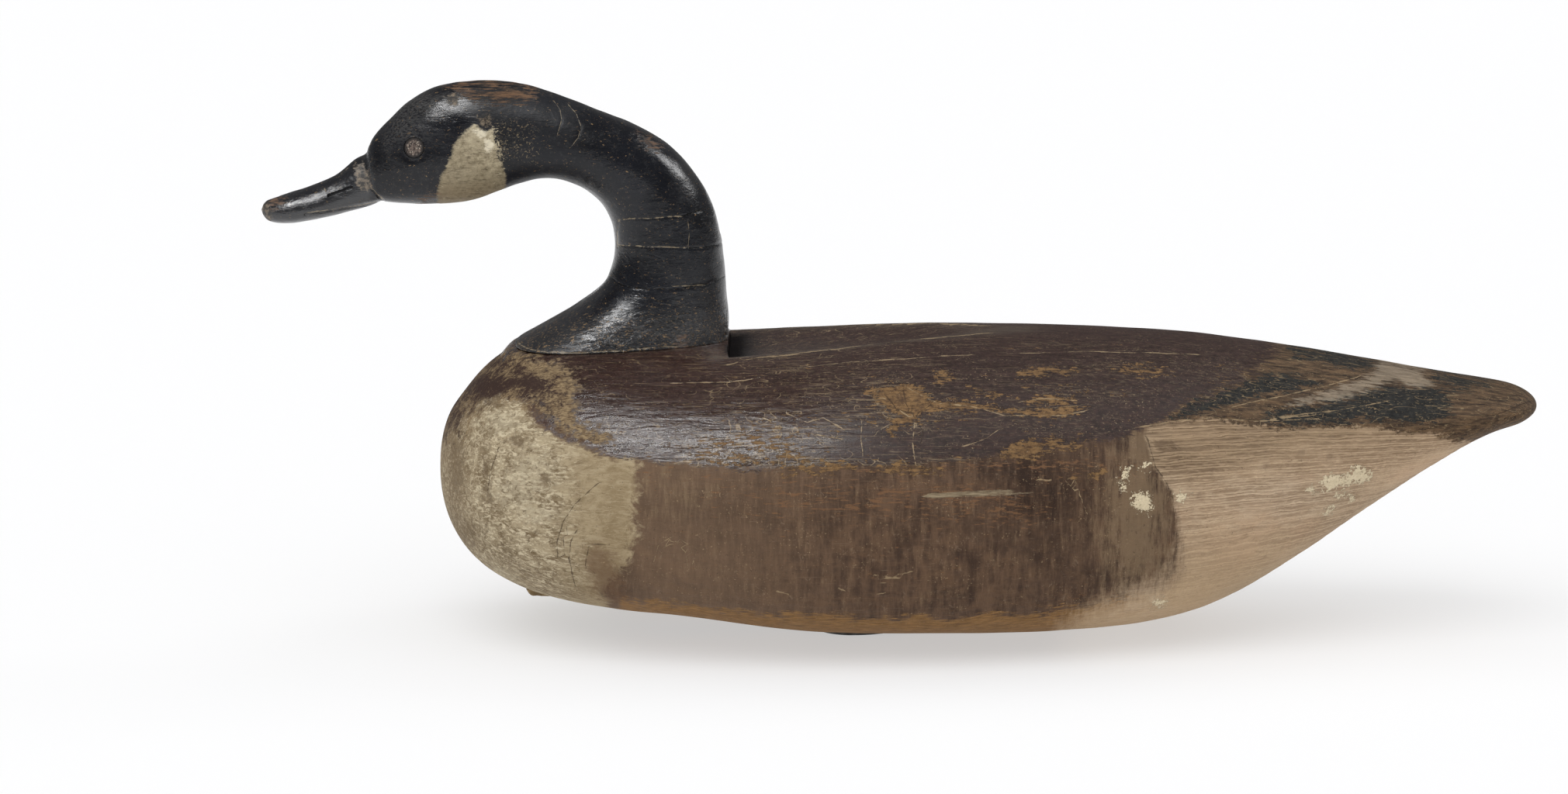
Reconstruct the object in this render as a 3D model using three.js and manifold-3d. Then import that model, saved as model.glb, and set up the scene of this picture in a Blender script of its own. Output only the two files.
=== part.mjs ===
// A carved and painted goose decoy: a wooden body, a head and neck fixed on its seat, two worn
// inset eyes, a lead pad let into the belly and a leather tie for the anchor line under the breast.
// Millimetres, +Z up, bill towards -X, tail towards +X. The whole length is centred on the origin,
// and Z is zero at the flat underside of the pad, on which the decoy stands.
// Inside the file x is measured from the front of the breast, and the last lines move it.

import * as THREE from "three";
import { mergeVertices } from "three/addons/utils/BufferGeometryUtils.js";
import Module from "manifold-3d";

const wasm = await Module();
wasm.setup();

// Driving sizes
const bodyLength = 635; // breast to tail tip
const bodyWidth = 255; // at the widest place
const bodyHeight = 171; // belly to the highest place of the back
const bellyRise = 6.4; // the belly's lowest place above the ground
const headHeight = 152; // seat to crown
const seatFront = 45; // breast to the front of the neck
const hollowLength = 163; // scoop in the back behind the neck
const hollowWidth = 100;
const hollowDepth = 14;
const wallRun = 1; // the hollow's front wall runs down over this length
const eyeDiameter = 11.6;
const eyeSink = 2.2; // how far an eye is let into the head
const eyeProud = 0.5; // rise of its middle over its rim
const nostrilLength = 16;
const nostrilWidth = 2.4;
const nostrilDepth = 1.6;
const padLength = 63; // along the keel
const padWidth = 50;
const padMiddle = 248; // breast to the middle of the pad
const padInset = 3; // how far the pad is let into the belly
const padBevel = 1.6;
const tieFront = 48.8; // breast to the front of the line tie
const tieLength = 19;
const tieThickness = 12;
const tieDrop = 8; // below the belly above it
const tieInset = 5;
const tieRound = 5;
const gap = 0.3; // between pieces that touch
const cutReach = 4; // how far a cut starts outside the wood

// Facets
const stations = 54;
const bodyAround = 52;
const headStep = 0.66; // rows of the head's table for one ring
const headAround = 28;
const discAround = 20;
const padAround = 36;

const halfWidth = bodyWidth / 2;

// The body's sections, front to back: place in percent of the length; top, underside and widest
// line in percent of the height; half width in percent of its greatest; powers of the upper and
// lower curve, where 2 is an ellipse and more is squarer.
const bodyRows = [
  [0, 53.6, 53.6, 53.6, 0, 2.1, 2.1],
  [0.6, 68.5, 38, 53.6, 25.3, 2.1, 2.1],
  [2.2, 78, 26.7, 53, 45.5, 2.1, 2.2],
  [5, 89, 18.2, 51.8, 65, 2.15, 2.4],
  [9.5, 97.5, 11.7, 50, 79.3, 2.2, 2.6],
  [16, 99.2, 8.1, 48.3, 90, 2.2, 2.8],
  [24, 97.7, 5.5, 47, 96.7, 2.2, 2.9],
  [33, 98.4, 1.7, 46.5, 100, 2.2, 3],
  [45, 99.8, 0.3, 47.7, 98.8, 2.2, 3],
  [56, 99.4, 0, 50.6, 91.4, 2.2, 2.8],
  [63, 98.5, 1.3, 53.6, 83.5, 2.2, 2.7],
  [69, 97.1, 5.5, 56.7, 74.3, 2.15, 2.5],
  [73, 95.4, 11.2, 59.4, 67.2, 2.1, 2.3],
  [79, 92.4, 24.5, 63.1, 56.8, 2.05, 2.15],
  [84.5, 88.8, 38.7, 67.1, 48.5, 2, 2],
  [90, 85.2, 52.8, 70.8, 41.7, 2, 2],
  [95, 82.2, 64, 73.1, 36.3, 2, 2],
  [98.3, 79.8, 68.4, 74, 26.5, 2, 2],
  [100, 74.2, 74.2, 74.2, 0, 2, 2],
];

// The head and neck's sections from the seat over the crown to the bill tip, in percent of the
// head's height from the front of the seat: the throat side's x and z, the back side's x and z,
// the half width; then the power of the section and how much wider its throat side is.
const headRows = [
  [0, 0, 80.3, 2, 28.9, 2.6, 0.3],
  [0.3, 1.3, 80.3, 3.6, 28.6, 2.6, 0.3],
  [11, 7.6, 80.6, 6.9, 25.7, 2.5, 0.24],
  [23, 14.8, 80.6, 11.5, 22.7, 2.4, 0.16],
  [32, 22, 79.9, 17.4, 20.7, 2.3, 0.1],
  [35.5, 28, 79.3, 25.3, 19.7, 2.25, 0.05],
  [37.2, 35, 78.6, 32.6, 19.4, 2.2, 0],
  [37.2, 41.8, 77.6, 41.1, 19.1, 2.2, 0],
  [36, 47.7, 75, 51, 18.8, 2.2, 0],
  [32.6, 53.6, 69.4, 62.5, 18.4, 2.2, 0],
  [27.6, 58.2, 60, 74, 18.1, 2.2, 0],
  [21.4, 61.5, 45.7, 83.2, 17.4, 2.2, 0.02],
  [14.8, 63.2, 30, 89.5, 16.8, 2.2, 0.04],
  [8.2, 62.8, 15.5, 95.1, 16.1, 2.2, 0.06],
  [1, 60.9, 4.3, 98.7, 15.8, 2.2, 0.09],
  [-7.2, 57.9, -5.6, 100, 16.1, 2.2, 0.12],
  [-16.1, 54.9, -15.1, 100, 16.4, 2.2, 0.14],
  [-25, 53.6, -24.3, 99, 16.1, 2.2, 0.14],
  [-33.6, 53.3, -32.9, 96.4, 15.5, 2.2, 0.14],
  [-40.8, 53.6, -40.8, 91.8, 14.1, 2.15, 0.14],
  [-46.4, 54, -47.7, 85.2, 12.5, 2.1, 0.14],
  [-50, 54.3, -53, 79.3, 10.9, 2.1, 0.14],
  [-51.6, 54, -55.3, 75.3, 9.9, 2.1, 0.14],
  [-53.3, 53.3, -56.6, 72.4, 8.6, 2.1, 0.16],
  [-58.6, 51.6, -60.9, 70.1, 8.2, 2.1, 0.2],
  [-67.1, 49.3, -68.4, 64.1, 8.2, 2.1, 0.22],
  [-76.6, 47.4, -77.6, 59.9, 8.9, 2.15, 0.2],
  [-86.2, 46.1, -86.8, 56.9, 8.9, 2.2, 0.1],
  [-92.8, 46.7, -93.1, 54.9, 6.9, 2.2, 0.05],
  [-95.4, 48.7, -95.4, 53.3, 3.9, 2.1, 0],
  [-96.4, 51, -96.4, 51, 0, 2, 0],
];
const lastRow = headRows.length - 1;

// Where the eye and the nostril lie: the row of the table, and how far up from the middle of that
// section towards the crown, as a share.
const eyeRow = 18.5;
const eyeUp = 0.12;
const nostrilRow = 24.75;
const nostrilUp = 0.15;
const nostrilTilt = 19; // degrees up towards the face

// Free form of the carving, as shares
const seatShare = 0.948; // height of the seat's front in the body's height
const seatEdge = 1.02; // the seat's size in the footprint
const seatFade = 1.18; // size at which it has blended into the back
const hollowSoftness = 0.05; // rounding of the hollow's rim
const padWiderFront = 0.35; // how much wider the pad is at its front than at its middle
const padWidest = 1.06; // the egg shape's greatest width in the pad's middle width

// Colours
const paintBlack = 0x26282c;
const paintBrown = 0x5a4a43;
const wornEye = 0x6b5a50;
const lead = 0x55585a;
const leather = 0x6a5741;

// A smooth curve through one column of a table, at a place on its rising scale.
function smooth(scale, values, at) {
  const last = scale.length - 1;
  let i = 0;
  while (i < last - 1 && at >= scale[i + 1]) i += 1;
  const slope = (k) => {
    const before = Math.max(k - 1, 0);
    const after = Math.min(k + 1, last);
    return (values[after] - values[before]) / (scale[after] - scale[before]);
  };
  const step = scale[i + 1] - scale[i];
  const t = (at - scale[i]) / step;
  return (
    (2 * t ** 3 - 3 * t ** 2 + 1) * values[i] +
    (t ** 3 - 2 * t ** 2 + t) * step * slope(i) +
    (3 * t ** 2 - 2 * t ** 3) * values[i + 1] +
    (t ** 3 - t ** 2) * step * slope(i + 1)
  );
}

// A signed power, for superellipses.
function bent(value, power) {
  return Math.sign(value) * Math.abs(value) ** power;
}

// From 0 to 1 as value runs from low to high, without corners.
function ease(value, low, high) {
  const t = Math.min(Math.max((value - low) / (high - low), 0), 1);
  return t * t * (3 - 2 * t);
}

const column = (rows, index) => rows.map((row) => row[index]);

// The scale on which the body's table is read: it runs as the square root of the distance from
// either end, so that breast and tail tip come out round.
const endRound = (share) => Math.acos(1 - 2 * share) / Math.PI;
const bodyScale = column(bodyRows, 0).map((percent) => endRound(percent / 100));
const bodyColumns = [1, 2, 3, 4, 5, 6].map((index) => column(bodyRows, index));
const headScale = headRows.map((row, index) => index);
const headColumns = [0, 1, 2, 3, 4, 5, 6].map((index) => column(headRows, index));

function bodySection(x) {
  const at = endRound(Math.min(Math.max(x / bodyLength, 0), 1));
  const [top, low, wide, half, upper, lower] = bodyColumns.map((values) =>
    smooth(bodyScale, values, at),
  );
  const level = (percent) => bellyRise + (percent / 100) * bodyHeight;
  return {
    top: level(top),
    low: level(low),
    wide: level(wide),
    half: (Math.max(half, 0) / 100) * halfWidth,
    upper,
    lower,
  };
}

// The neck's footprint and the sloping seat under it.
const [, , footBack, footRise, footHalf, footPower, footTaper] = headRows[0];
const seatLength = (footBack / 100) * headHeight;
const seatLevel = bellyRise + seatShare * bodyHeight;
const seatSlope = footRise / footBack;
const wallX = seatFront + seatLength;
const seatHeight = (x) => seatLevel + seatSlope * (x - seatFront);

// 0 in the middle of the footprint, 1 on its outline and more outside.
function footprint(x, y) {
  const a = (2 * (x - seatFront)) / seatLength - 1;
  const half = (footHalf / 100) * headHeight * Math.max(1 - footTaper * a, footTaper);
  return (Math.abs(a) ** footPower + Math.abs(y / half) ** footPower) ** (1 / footPower);
}

// The height of the body's upper face with the seat raised or flattened and the hollow scooped out.
function carvedTop(x, y, z) {
  if (x <= wallX) {
    const seat = seatHeight(x) - gap;
    const flat = Math.min(z, seat);
    const near = 1 - ease(footprint(x, y), seatEdge, seatFade);
    return flat + (seat - flat) * near;
  }
  const along = (x - wallX) / hollowLength;
  const across = (2 * y) / hollowWidth;
  const inside = 1 - along - across * across;
  const wall = ease(x, wallX, wallX + wallRun);
  return z - (hollowDepth * wall * (inside + Math.hypot(inside, hollowSoftness))) / 2;
}

function bodyPoint(x, turn) {
  const s = bodySection(x);
  const c = Math.cos(turn);
  const d = Math.sin(turn);
  const power = 2 / (d > 0 ? s.upper : s.lower);
  const y = -s.half * bent(c, power);
  let z = s.wide + (d > 0 ? s.top - s.wide : s.wide - s.low) * bent(d, power);
  if (d > 0) z = carvedTop(x, y, z);
  return new THREE.Vector3(x, y, z);
}

function headPoint(row, turn) {
  const [throatX, throatZ, backX, backZ, half, power, taper] = headColumns.map((values) =>
    smooth(headScale, values, row),
  );
  const a = bent(Math.cos(turn), 2 / power);
  const b = bent(Math.sin(turn), 2 / power);
  const percent = new THREE.Vector3(
    (throatX + backX + a * (backX - throatX)) / 2,
    half * b * (1 - taper * a),
    (throatZ + backZ + a * (backZ - throatZ)) / 2,
  );
  const foot = new THREE.Vector3(seatFront, 0, seatLevel);
  return percent.multiplyScalar(headHeight / 100).add(foot);
}

// One closed skin over rings of points, drawn together to a point at either end.
function loft(rings, firstPole, lastPole) {
  const around = rings[0].length;
  const points = [firstPole, ...rings.flat(), lastPole];
  const index = [];
  const at = (ring, k) => 1 + ring * around + (k % around);
  for (let k = 0; k < around; k += 1) index.push(0, at(0, k), at(0, k + 1));
  for (let r = 0; r + 1 < rings.length; r += 1) {
    for (let k = 0; k < around; k += 1) {
      index.push(at(r, k), at(r + 1, k), at(r + 1, k + 1));
      index.push(at(r, k), at(r + 1, k + 1), at(r, k + 1));
    }
  }
  const last = rings.length - 1;
  for (let k = 0; k < around; k += 1) {
    index.push(points.length - 1, at(last, k + 1), at(last, k));
  }
  const geometry = new THREE.BufferGeometry().setFromPoints(points);
  geometry.setIndex(index);
  return geometry;
}

function middle(points) {
  const sum = points.reduce((total, p) => total.add(p), new THREE.Vector3());
  return sum.divideScalar(points.length);
}

const turns = (count) => Array.from({ length: count }, (v, k) => (2 * Math.PI * k) / count);

// Cuts are made on closed solids, with only places left at the shared corners.
function solid(geometry) {
  const bare = geometry.clone();
  bare.deleteAttribute("normal");
  bare.deleteAttribute("uv");
  const merged = mergeVertices(bare, 1e-4);
  return new wasm.Manifold(
    new wasm.Mesh({
      numProp: 3,
      vertProperties: new Float32Array(merged.attributes.position.array),
      triVerts: new Uint32Array(merged.index.array),
    }),
  );
}

function cutFrom(geometry, tools) {
  const left = tools.reduce((rest, tool) => rest.subtract(solid(tool)), solid(geometry));
  const mesh = left.getMesh();
  const made = new THREE.BufferGeometry();
  made.setAttribute("position", new THREE.BufferAttribute(mesh.vertProperties, 3));
  made.setIndex(new THREE.BufferAttribute(mesh.triVerts, 1));
  return made;
}

function bodyBlank() {
  const places = [];
  for (let k = 1; k < stations; k += 1) {
    const x = (bodyLength * (1 - Math.cos((Math.PI * k) / stations))) / 2;
    if (Math.abs(x - wallX) > 3 * wallRun) places.push(x);
  }
  places.push(wallX, wallX + wallRun);
  places.sort((a, b) => a - b);
  const crowding = 0.12; // draws the corners together over the back and under the belly
  const angles = turns(bodyAround).map((turn) => turn + crowding * Math.sin(2 * turn));
  const rings = places.map((x) => angles.map((turn) => bodyPoint(x, turn)));
  return loft(rings, bodyPoint(0, 0), bodyPoint(bodyLength, 0));
}

function headBlank() {
  const rings = [];
  for (let row = 0; row < lastRow - headStep / 2; row += headStep) {
    rings.push(turns(headAround).map((turn) => headPoint(row, -turn)));
  }
  return loft(rings, middle(rings[0]), headPoint(lastRow, 0));
}

// A place on the head's side, with Z standing out of the wood and X towards the bill tip.
function sidePlace(row, up, side) {
  const power = smooth(headScale, headColumns[5], row);
  const turn = side * Math.acos(bent(up, power / 2));
  const nearby = 0.01;
  const at = headPoint(row, turn);
  const ahead = headPoint(row + nearby, turn).sub(at).normalize();
  const across = headPoint(row, turn + nearby).sub(at);
  const outward = new THREE.Vector3().crossVectors(ahead, across).normalize();
  if (outward.y * side < 0) outward.negate();
  const sideways = new THREE.Vector3().crossVectors(outward, ahead);
  const place = new THREE.Matrix4().makeBasis(ahead, sideways, outward);
  return place.setPosition(at);
}

// A round inset eye with a low dome, its rim level with the wood.
function eyeDisc(side) {
  const r = eyeDiameter / 2;
  const profile = [
    [0, -eyeSink + gap],
    [r, -eyeSink + gap],
    [r, 0],
    [0.6 * r, 0.7 * eyeProud],
    [0, eyeProud],
  ].map(([x, y]) => new THREE.Vector2(x, y));
  const disc = new THREE.LatheGeometry(profile, discAround).rotateX(Math.PI / 2);
  return disc.applyMatrix4(sidePlace(eyeRow, eyeUp, side));
}

function eyeSocket(side) {
  const r = eyeDiameter / 2 + gap;
  const socket = new THREE.CylinderGeometry(r, r, eyeSink + cutReach, discAround);
  socket.rotateX(Math.PI / 2).translate(0, 0, (cutReach - eyeSink) / 2);
  return socket.applyMatrix4(sidePlace(eyeRow, eyeUp, side));
}

// A slot with round ends, sunk into the side of the bill.
function nostril(side) {
  const r = nostrilWidth / 2;
  const half = nostrilLength / 2 - r;
  const outline = new THREE.Shape();
  outline.absarc(half, 0, r, -Math.PI / 2, Math.PI / 2, false);
  outline.absarc(-half, 0, r, Math.PI / 2, (3 * Math.PI) / 2, false);
  outline.closePath();
  const slot = new THREE.ExtrudeGeometry(outline, {
    depth: nostrilDepth + cutReach,
    bevelEnabled: false,
    curveSegments: 5,
  });
  const place = sidePlace(nostrilRow, nostrilUp, side);
  const at = new THREE.Vector3().setFromMatrixPosition(place);
  const out = new THREE.Vector3().setFromMatrixColumn(place, 2);
  const tilt = THREE.MathUtils.degToRad(nostrilTilt);
  const ahead = new THREE.Vector3(-Math.cos(tilt), 0, -Math.sin(tilt));
  ahead.addScaledVector(out, -ahead.dot(out)).normalize();
  const sideways = new THREE.Vector3().crossVectors(out, ahead);
  const turned = new THREE.Matrix4().makeBasis(ahead, sideways, out).setPosition(at);
  return slot.translate(0, 0, -nostrilDepth).applyMatrix4(turned);
}

// The pad's egg-shaped outline, wider towards the breast, at a height and grown by an amount.
function padRing(z, grown) {
  return turns(padAround).map((turn) => {
    const a = Math.cos(turn);
    const x = padMiddle + a * (padLength / 2 + grown);
    const half = (1 - padWiderFront * a) * (padWidth / 2 / padWidest + grown);
    const y = Math.sin(turn) * half;
    return new THREE.Vector3(x, y, z);
  });
}

const padTop = bodySection(padMiddle).low + padInset;

function pad() {
  const rings = [padRing(padTop, 0), padRing(padBevel, 0), padRing(0, -padBevel)];
  return loft(rings, middle(rings[0]), middle(rings[2]));
}

function padPocket() {
  const rings = [padRing(padTop + gap, gap), padRing(-cutReach, gap)];
  return loft(rings, middle(rings[0]), middle(rings[1]));
}

// The line tie: a thick leather tab with round lower corners, let into the underside.
const tieBelly = bodySection(tieFront + tieLength / 2).low;

function tieBlock(grown) {
  const left = tieFront - grown;
  const right = tieFront + tieLength + grown;
  const low = tieBelly - tieDrop - grown;
  const high = tieBelly + tieInset + grown;
  const outline = new THREE.Shape();
  outline.moveTo(left, high);
  outline.lineTo(left, low + tieRound);
  outline.absarc(left + tieRound, low + tieRound, tieRound, Math.PI, 1.5 * Math.PI, false);
  outline.absarc(right - tieRound, low + tieRound, tieRound, 1.5 * Math.PI, 2 * Math.PI, false);
  outline.lineTo(right, high);
  outline.closePath();
  const thick = tieThickness + 2 * grown;
  const block = new THREE.ExtrudeGeometry(outline, {
    depth: thick,
    bevelEnabled: false,
    curveSegments: 4,
  });
  return block.rotateX(Math.PI / 2).translate(0, thick / 2, 0);
}

function piece(name, geometry, color, roughness, metalness = 0) {
  geometry.computeVertexNormals();
  const material = new THREE.MeshStandardMaterial({ color, roughness, metalness });
  const mesh = new THREE.Mesh(geometry, material);
  mesh.name = name;
  return mesh;
}

const body = cutFrom(bodyBlank(), [padPocket(), tieBlock(gap)]);
const head = cutFrom(headBlank(), [
  eyeSocket(1),
  eyeSocket(-1),
  nostril(1),
  nostril(-1),
]);

const decoy = new THREE.Group();
decoy.add(
  piece("body", body, paintBrown, 0.6),
  piece("head_and_neck", head, paintBlack, 0.45),
  piece("eye_left", eyeDisc(-1), wornEye, 0.6),
  piece("eye_right", eyeDisc(1), wornEye, 0.6),
  piece("ballast_pad", pad(), lead, 0.6, 0.5),
  piece("line_tie", tieBlock(0), leather, 0.8),
);

const billTip = headPoint(lastRow, 0).x;
decoy.position.x = -(billTip + bodyLength) / 2;

export default decoy;
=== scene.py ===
import math

import bmesh
import bpy
import numpy as np
from mathutils import Matrix, Vector, noise


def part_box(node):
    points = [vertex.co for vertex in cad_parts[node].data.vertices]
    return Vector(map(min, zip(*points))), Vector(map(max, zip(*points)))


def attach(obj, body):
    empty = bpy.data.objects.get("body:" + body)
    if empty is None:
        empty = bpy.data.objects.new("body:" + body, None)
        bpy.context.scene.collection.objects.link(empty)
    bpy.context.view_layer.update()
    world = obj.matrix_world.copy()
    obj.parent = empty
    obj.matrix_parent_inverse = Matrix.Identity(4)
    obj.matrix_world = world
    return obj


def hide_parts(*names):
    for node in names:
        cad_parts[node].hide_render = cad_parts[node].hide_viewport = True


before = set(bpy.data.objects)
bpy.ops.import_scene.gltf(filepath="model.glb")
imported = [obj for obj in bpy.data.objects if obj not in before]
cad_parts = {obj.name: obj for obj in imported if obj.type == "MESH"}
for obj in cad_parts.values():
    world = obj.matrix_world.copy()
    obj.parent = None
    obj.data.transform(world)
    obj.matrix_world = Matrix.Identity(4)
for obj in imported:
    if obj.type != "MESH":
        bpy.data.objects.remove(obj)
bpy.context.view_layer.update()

# The looks of a carved and painted goose decoy, built around its solids. Metres, +Z up, bill
# towards -X. Every fine mesh repeats the form of its solid and adds carving, cracks and wear.

# Sizes, the same as the solids'
BODY_LENGTH = 0.635
BODY_WIDTH = 0.255
BODY_HEIGHT = 0.171
BELLY_RISE = 0.0064
HEAD_HEIGHT = 0.152
SEAT_FRONT = 0.045
SEAT_SHARE = 0.948
SEAT_EDGE = 1.02
SEAT_FADE = 1.18
HOLLOW_LENGTH = 0.163
HOLLOW_WIDTH = 0.100
HOLLOW_DEPTH = 0.014
HOLLOW_SOFTNESS = 0.05
WALL_RUN = 0.001
# How far the painted shade in the corner behind the neck reaches
NOTCH_SHADE_LENGTH = 0.017
EYE_DIAMETER = 0.0116
EYE_SINK = 0.0022
EYE_PROUD = 0.0005
EYE_ROW = 18.5
EYE_UP = 0.12
NOSTRIL_LENGTH = 0.016
NOSTRIL_WIDTH = 0.0024
NOSTRIL_DEPTH = 0.0016
NOSTRIL_ROW = 24.75
NOSTRIL_UP = 0.15
NOSTRIL_TILT = 19
PAD_LENGTH = 0.063
PAD_WIDTH = 0.050
PAD_MIDDLE = 0.248
PAD_INSET = 0.003
PAD_BEVEL = 0.0016
PAD_WIDER_FRONT = 0.35
PAD_WIDEST = 1.06
TIE_FRONT = 0.0488
TIE_LENGTH = 0.019
TIE_THICKNESS = 0.012
TIE_DROP = 0.008
TIE_INSET = 0.005
TIE_ROUND = 0.005
GAP = 0.0003
CUT_REACH = 0.004

# Soft lumps of the carving: how far they stand out, their sizes, and where their noise is read
BODY_CARVING = [(0.00045, (0.06, 0.035, 0.035), 0), (0.0002, (0.02, 0.02, 0.02), 5)]
HEAD_CARVING = [(0.0005, (0.03, 0.03, 0.03), 0), (0.0002, (0.009, 0.009, 0.009), 5)]

# How deep the damage and wear go, and other small sizes that the solids leave out
FURROW_DEPTH = 0.00022
GOUGE_DEPTH = 0.0011
DING_DEPTH = 0.0012
CRACK_DEPTH = 0.0004
SCRATCH_DEPTH = 0.00025
WEAR_DEPTH = 0.0002
SOCKET_DEPTH = 0.0004
FLAKE_THICKNESS = 0.00018
EYE_PITS = 0.0005
PAD_SHRINKAGE = 0.0006
PAD_DIMPLES = 0.0002
TIE_GRAIN = 0.0005
TIE_EDGE = 0.0012

# The wood's growth rings: their width, how flat they lie, how far below the floor their middle is
# and by how many rings they wander
RING_WIDTH = 0.0043
RING_FLATNESS = 0.55
PITH_DEPTH = 0.12
RING_WANDER = 2.2

# Fineness of the meshes
BODY_RINGS = 350
BODY_AROUND = 276
HEAD_RINGS = 440
HEAD_AROUND = 176
EYE_AROUND = 72
SOCKET_AROUND = 64
NOSTRIL_AROUND = 32
PAD_AROUND = 144

# Steps in which a form is measured along and around, before its rings and corners are placed
STEPS_ALONG = 3000
STEPS_AROUND = 1440
LINES_ALONG = 48

# The picture's size and the camera
PICTURE_WIDTH = 2021
PICTURE_HEIGHT = 1024
TARGET = Vector((-0.0674, 0, 0.1364))
DISTANCE = 2.6
ELEVATION = math.radians(10)
LENS = 102.92
SENSOR = 36

# The floor, the sky and the far lights, each with its direction, its width in degrees, its
# strength and whether it gives only highlights; the others give none
FLOOR_COLOUR = (180, 180, 181)
FLOOR_GLOW = 0.50
FLOOR_REACH = 30
SKY_STRENGTH = 0.16
LIGHTS = [
    ("ceiling", (0.05, 0.25, -0.97), 120, 1.8, False),
    ("key", (0.24, 0.53, -0.81), 50, 1.2, False),
    ("window", (0.24, 0.50, -0.83), 13, 1.6, True),
    ("side", (-0.74, -0.12, -0.66), 20, 1.5, True),
    ("rear", (-0.67, -0.40, -0.62), 25, 0.3, False),
]

BREAST_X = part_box("body")[0].x
EYE_POINT = TARGET + DISTANCE * Vector((0, -math.cos(ELEVATION), math.sin(ELEVATION)))

# The body's sections, front to back: place in percent of the length; top, underside and widest
# line in percent of the height; half width in percent of its greatest; powers of the two curves.
BODY_ROWS = np.array([
    [0, 53.6, 53.6, 53.6, 0, 2.1, 2.1],
    [0.6, 68.5, 38, 53.6, 25.3, 2.1, 2.1],
    [2.2, 78, 26.7, 53, 45.5, 2.1, 2.2],
    [5, 89, 18.2, 51.8, 65, 2.15, 2.4],
    [9.5, 97.5, 11.7, 50, 79.3, 2.2, 2.6],
    [16, 99.2, 8.1, 48.3, 90, 2.2, 2.8],
    [24, 97.7, 5.5, 47, 96.7, 2.2, 2.9],
    [33, 98.4, 1.7, 46.5, 100, 2.2, 3],
    [45, 99.8, 0.3, 47.7, 98.8, 2.2, 3],
    [56, 99.4, 0, 50.6, 91.4, 2.2, 2.8],
    [63, 98.5, 1.3, 53.6, 83.5, 2.2, 2.7],
    [69, 97.1, 5.5, 56.7, 74.3, 2.15, 2.5],
    [73, 95.4, 11.2, 59.4, 67.2, 2.1, 2.3],
    [79, 92.4, 24.5, 63.1, 56.8, 2.05, 2.15],
    [84.5, 88.8, 38.7, 67.1, 48.5, 2, 2],
    [90, 85.2, 52.8, 70.8, 41.7, 2, 2],
    [95, 82.2, 64, 73.1, 36.3, 2, 2],
    [98.3, 79.8, 68.4, 74, 26.5, 2, 2],
    [100, 74.2, 74.2, 74.2, 0, 2, 2],
])

# The head and neck's sections from the seat over the crown to the bill tip, in percent of the
# head's height: throat x and z, back x and z, half width; power; how much wider the throat is.
HEAD_ROWS = np.array([
    [0, 0, 80.3, 2, 28.9, 2.6, 0.3],
    [0.3, 1.3, 80.3, 3.6, 28.6, 2.6, 0.3],
    [11, 7.6, 80.6, 6.9, 25.7, 2.5, 0.24],
    [23, 14.8, 80.6, 11.5, 22.7, 2.4, 0.16],
    [32, 22, 79.9, 17.4, 20.7, 2.3, 0.1],
    [35.5, 28, 79.3, 25.3, 19.7, 2.25, 0.05],
    [37.2, 35, 78.6, 32.6, 19.4, 2.2, 0],
    [37.2, 41.8, 77.6, 41.1, 19.1, 2.2, 0],
    [36, 47.7, 75, 51, 18.8, 2.2, 0],
    [32.6, 53.6, 69.4, 62.5, 18.4, 2.2, 0],
    [27.6, 58.2, 60, 74, 18.1, 2.2, 0],
    [21.4, 61.5, 45.7, 83.2, 17.4, 2.2, 0.02],
    [14.8, 63.2, 30, 89.5, 16.8, 2.2, 0.04],
    [8.2, 62.8, 15.5, 95.1, 16.1, 2.2, 0.06],
    [1, 60.9, 4.3, 98.7, 15.8, 2.2, 0.09],
    [-7.2, 57.9, -5.6, 100, 16.1, 2.2, 0.12],
    [-16.1, 54.9, -15.1, 100, 16.4, 2.2, 0.14],
    [-25, 53.6, -24.3, 99, 16.1, 2.2, 0.14],
    [-33.6, 53.3, -32.9, 96.4, 15.5, 2.2, 0.14],
    [-40.8, 53.6, -40.8, 91.8, 14.1, 2.15, 0.14],
    [-46.4, 54, -47.7, 85.2, 12.5, 2.1, 0.14],
    [-50, 54.3, -53, 79.3, 10.9, 2.1, 0.14],
    [-51.6, 54, -55.3, 75.3, 9.9, 2.1, 0.14],
    [-53.3, 53.3, -56.6, 72.4, 8.6, 2.1, 0.16],
    [-58.6, 51.6, -60.9, 70.1, 8.2, 2.1, 0.2],
    [-67.1, 49.3, -68.4, 64.1, 8.2, 2.1, 0.22],
    [-76.6, 47.4, -77.6, 59.9, 8.9, 2.15, 0.2],
    [-86.2, 46.1, -86.8, 56.9, 8.9, 2.2, 0.1],
    [-92.8, 46.7, -93.1, 54.9, 6.9, 2.2, 0.05],
    [-95.4, 48.7, -95.4, 53.3, 3.9, 2.1, 0],
    [-96.4, 51, -96.4, 51, 0, 2, 0],
])
LAST_ROW = len(HEAD_ROWS) - 1

# Marks on the paint and in the wood are placed by where they show from the side, across and down
# in a picture 2021 wide and 1024 high. Both sides of the decoy get them.

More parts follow.
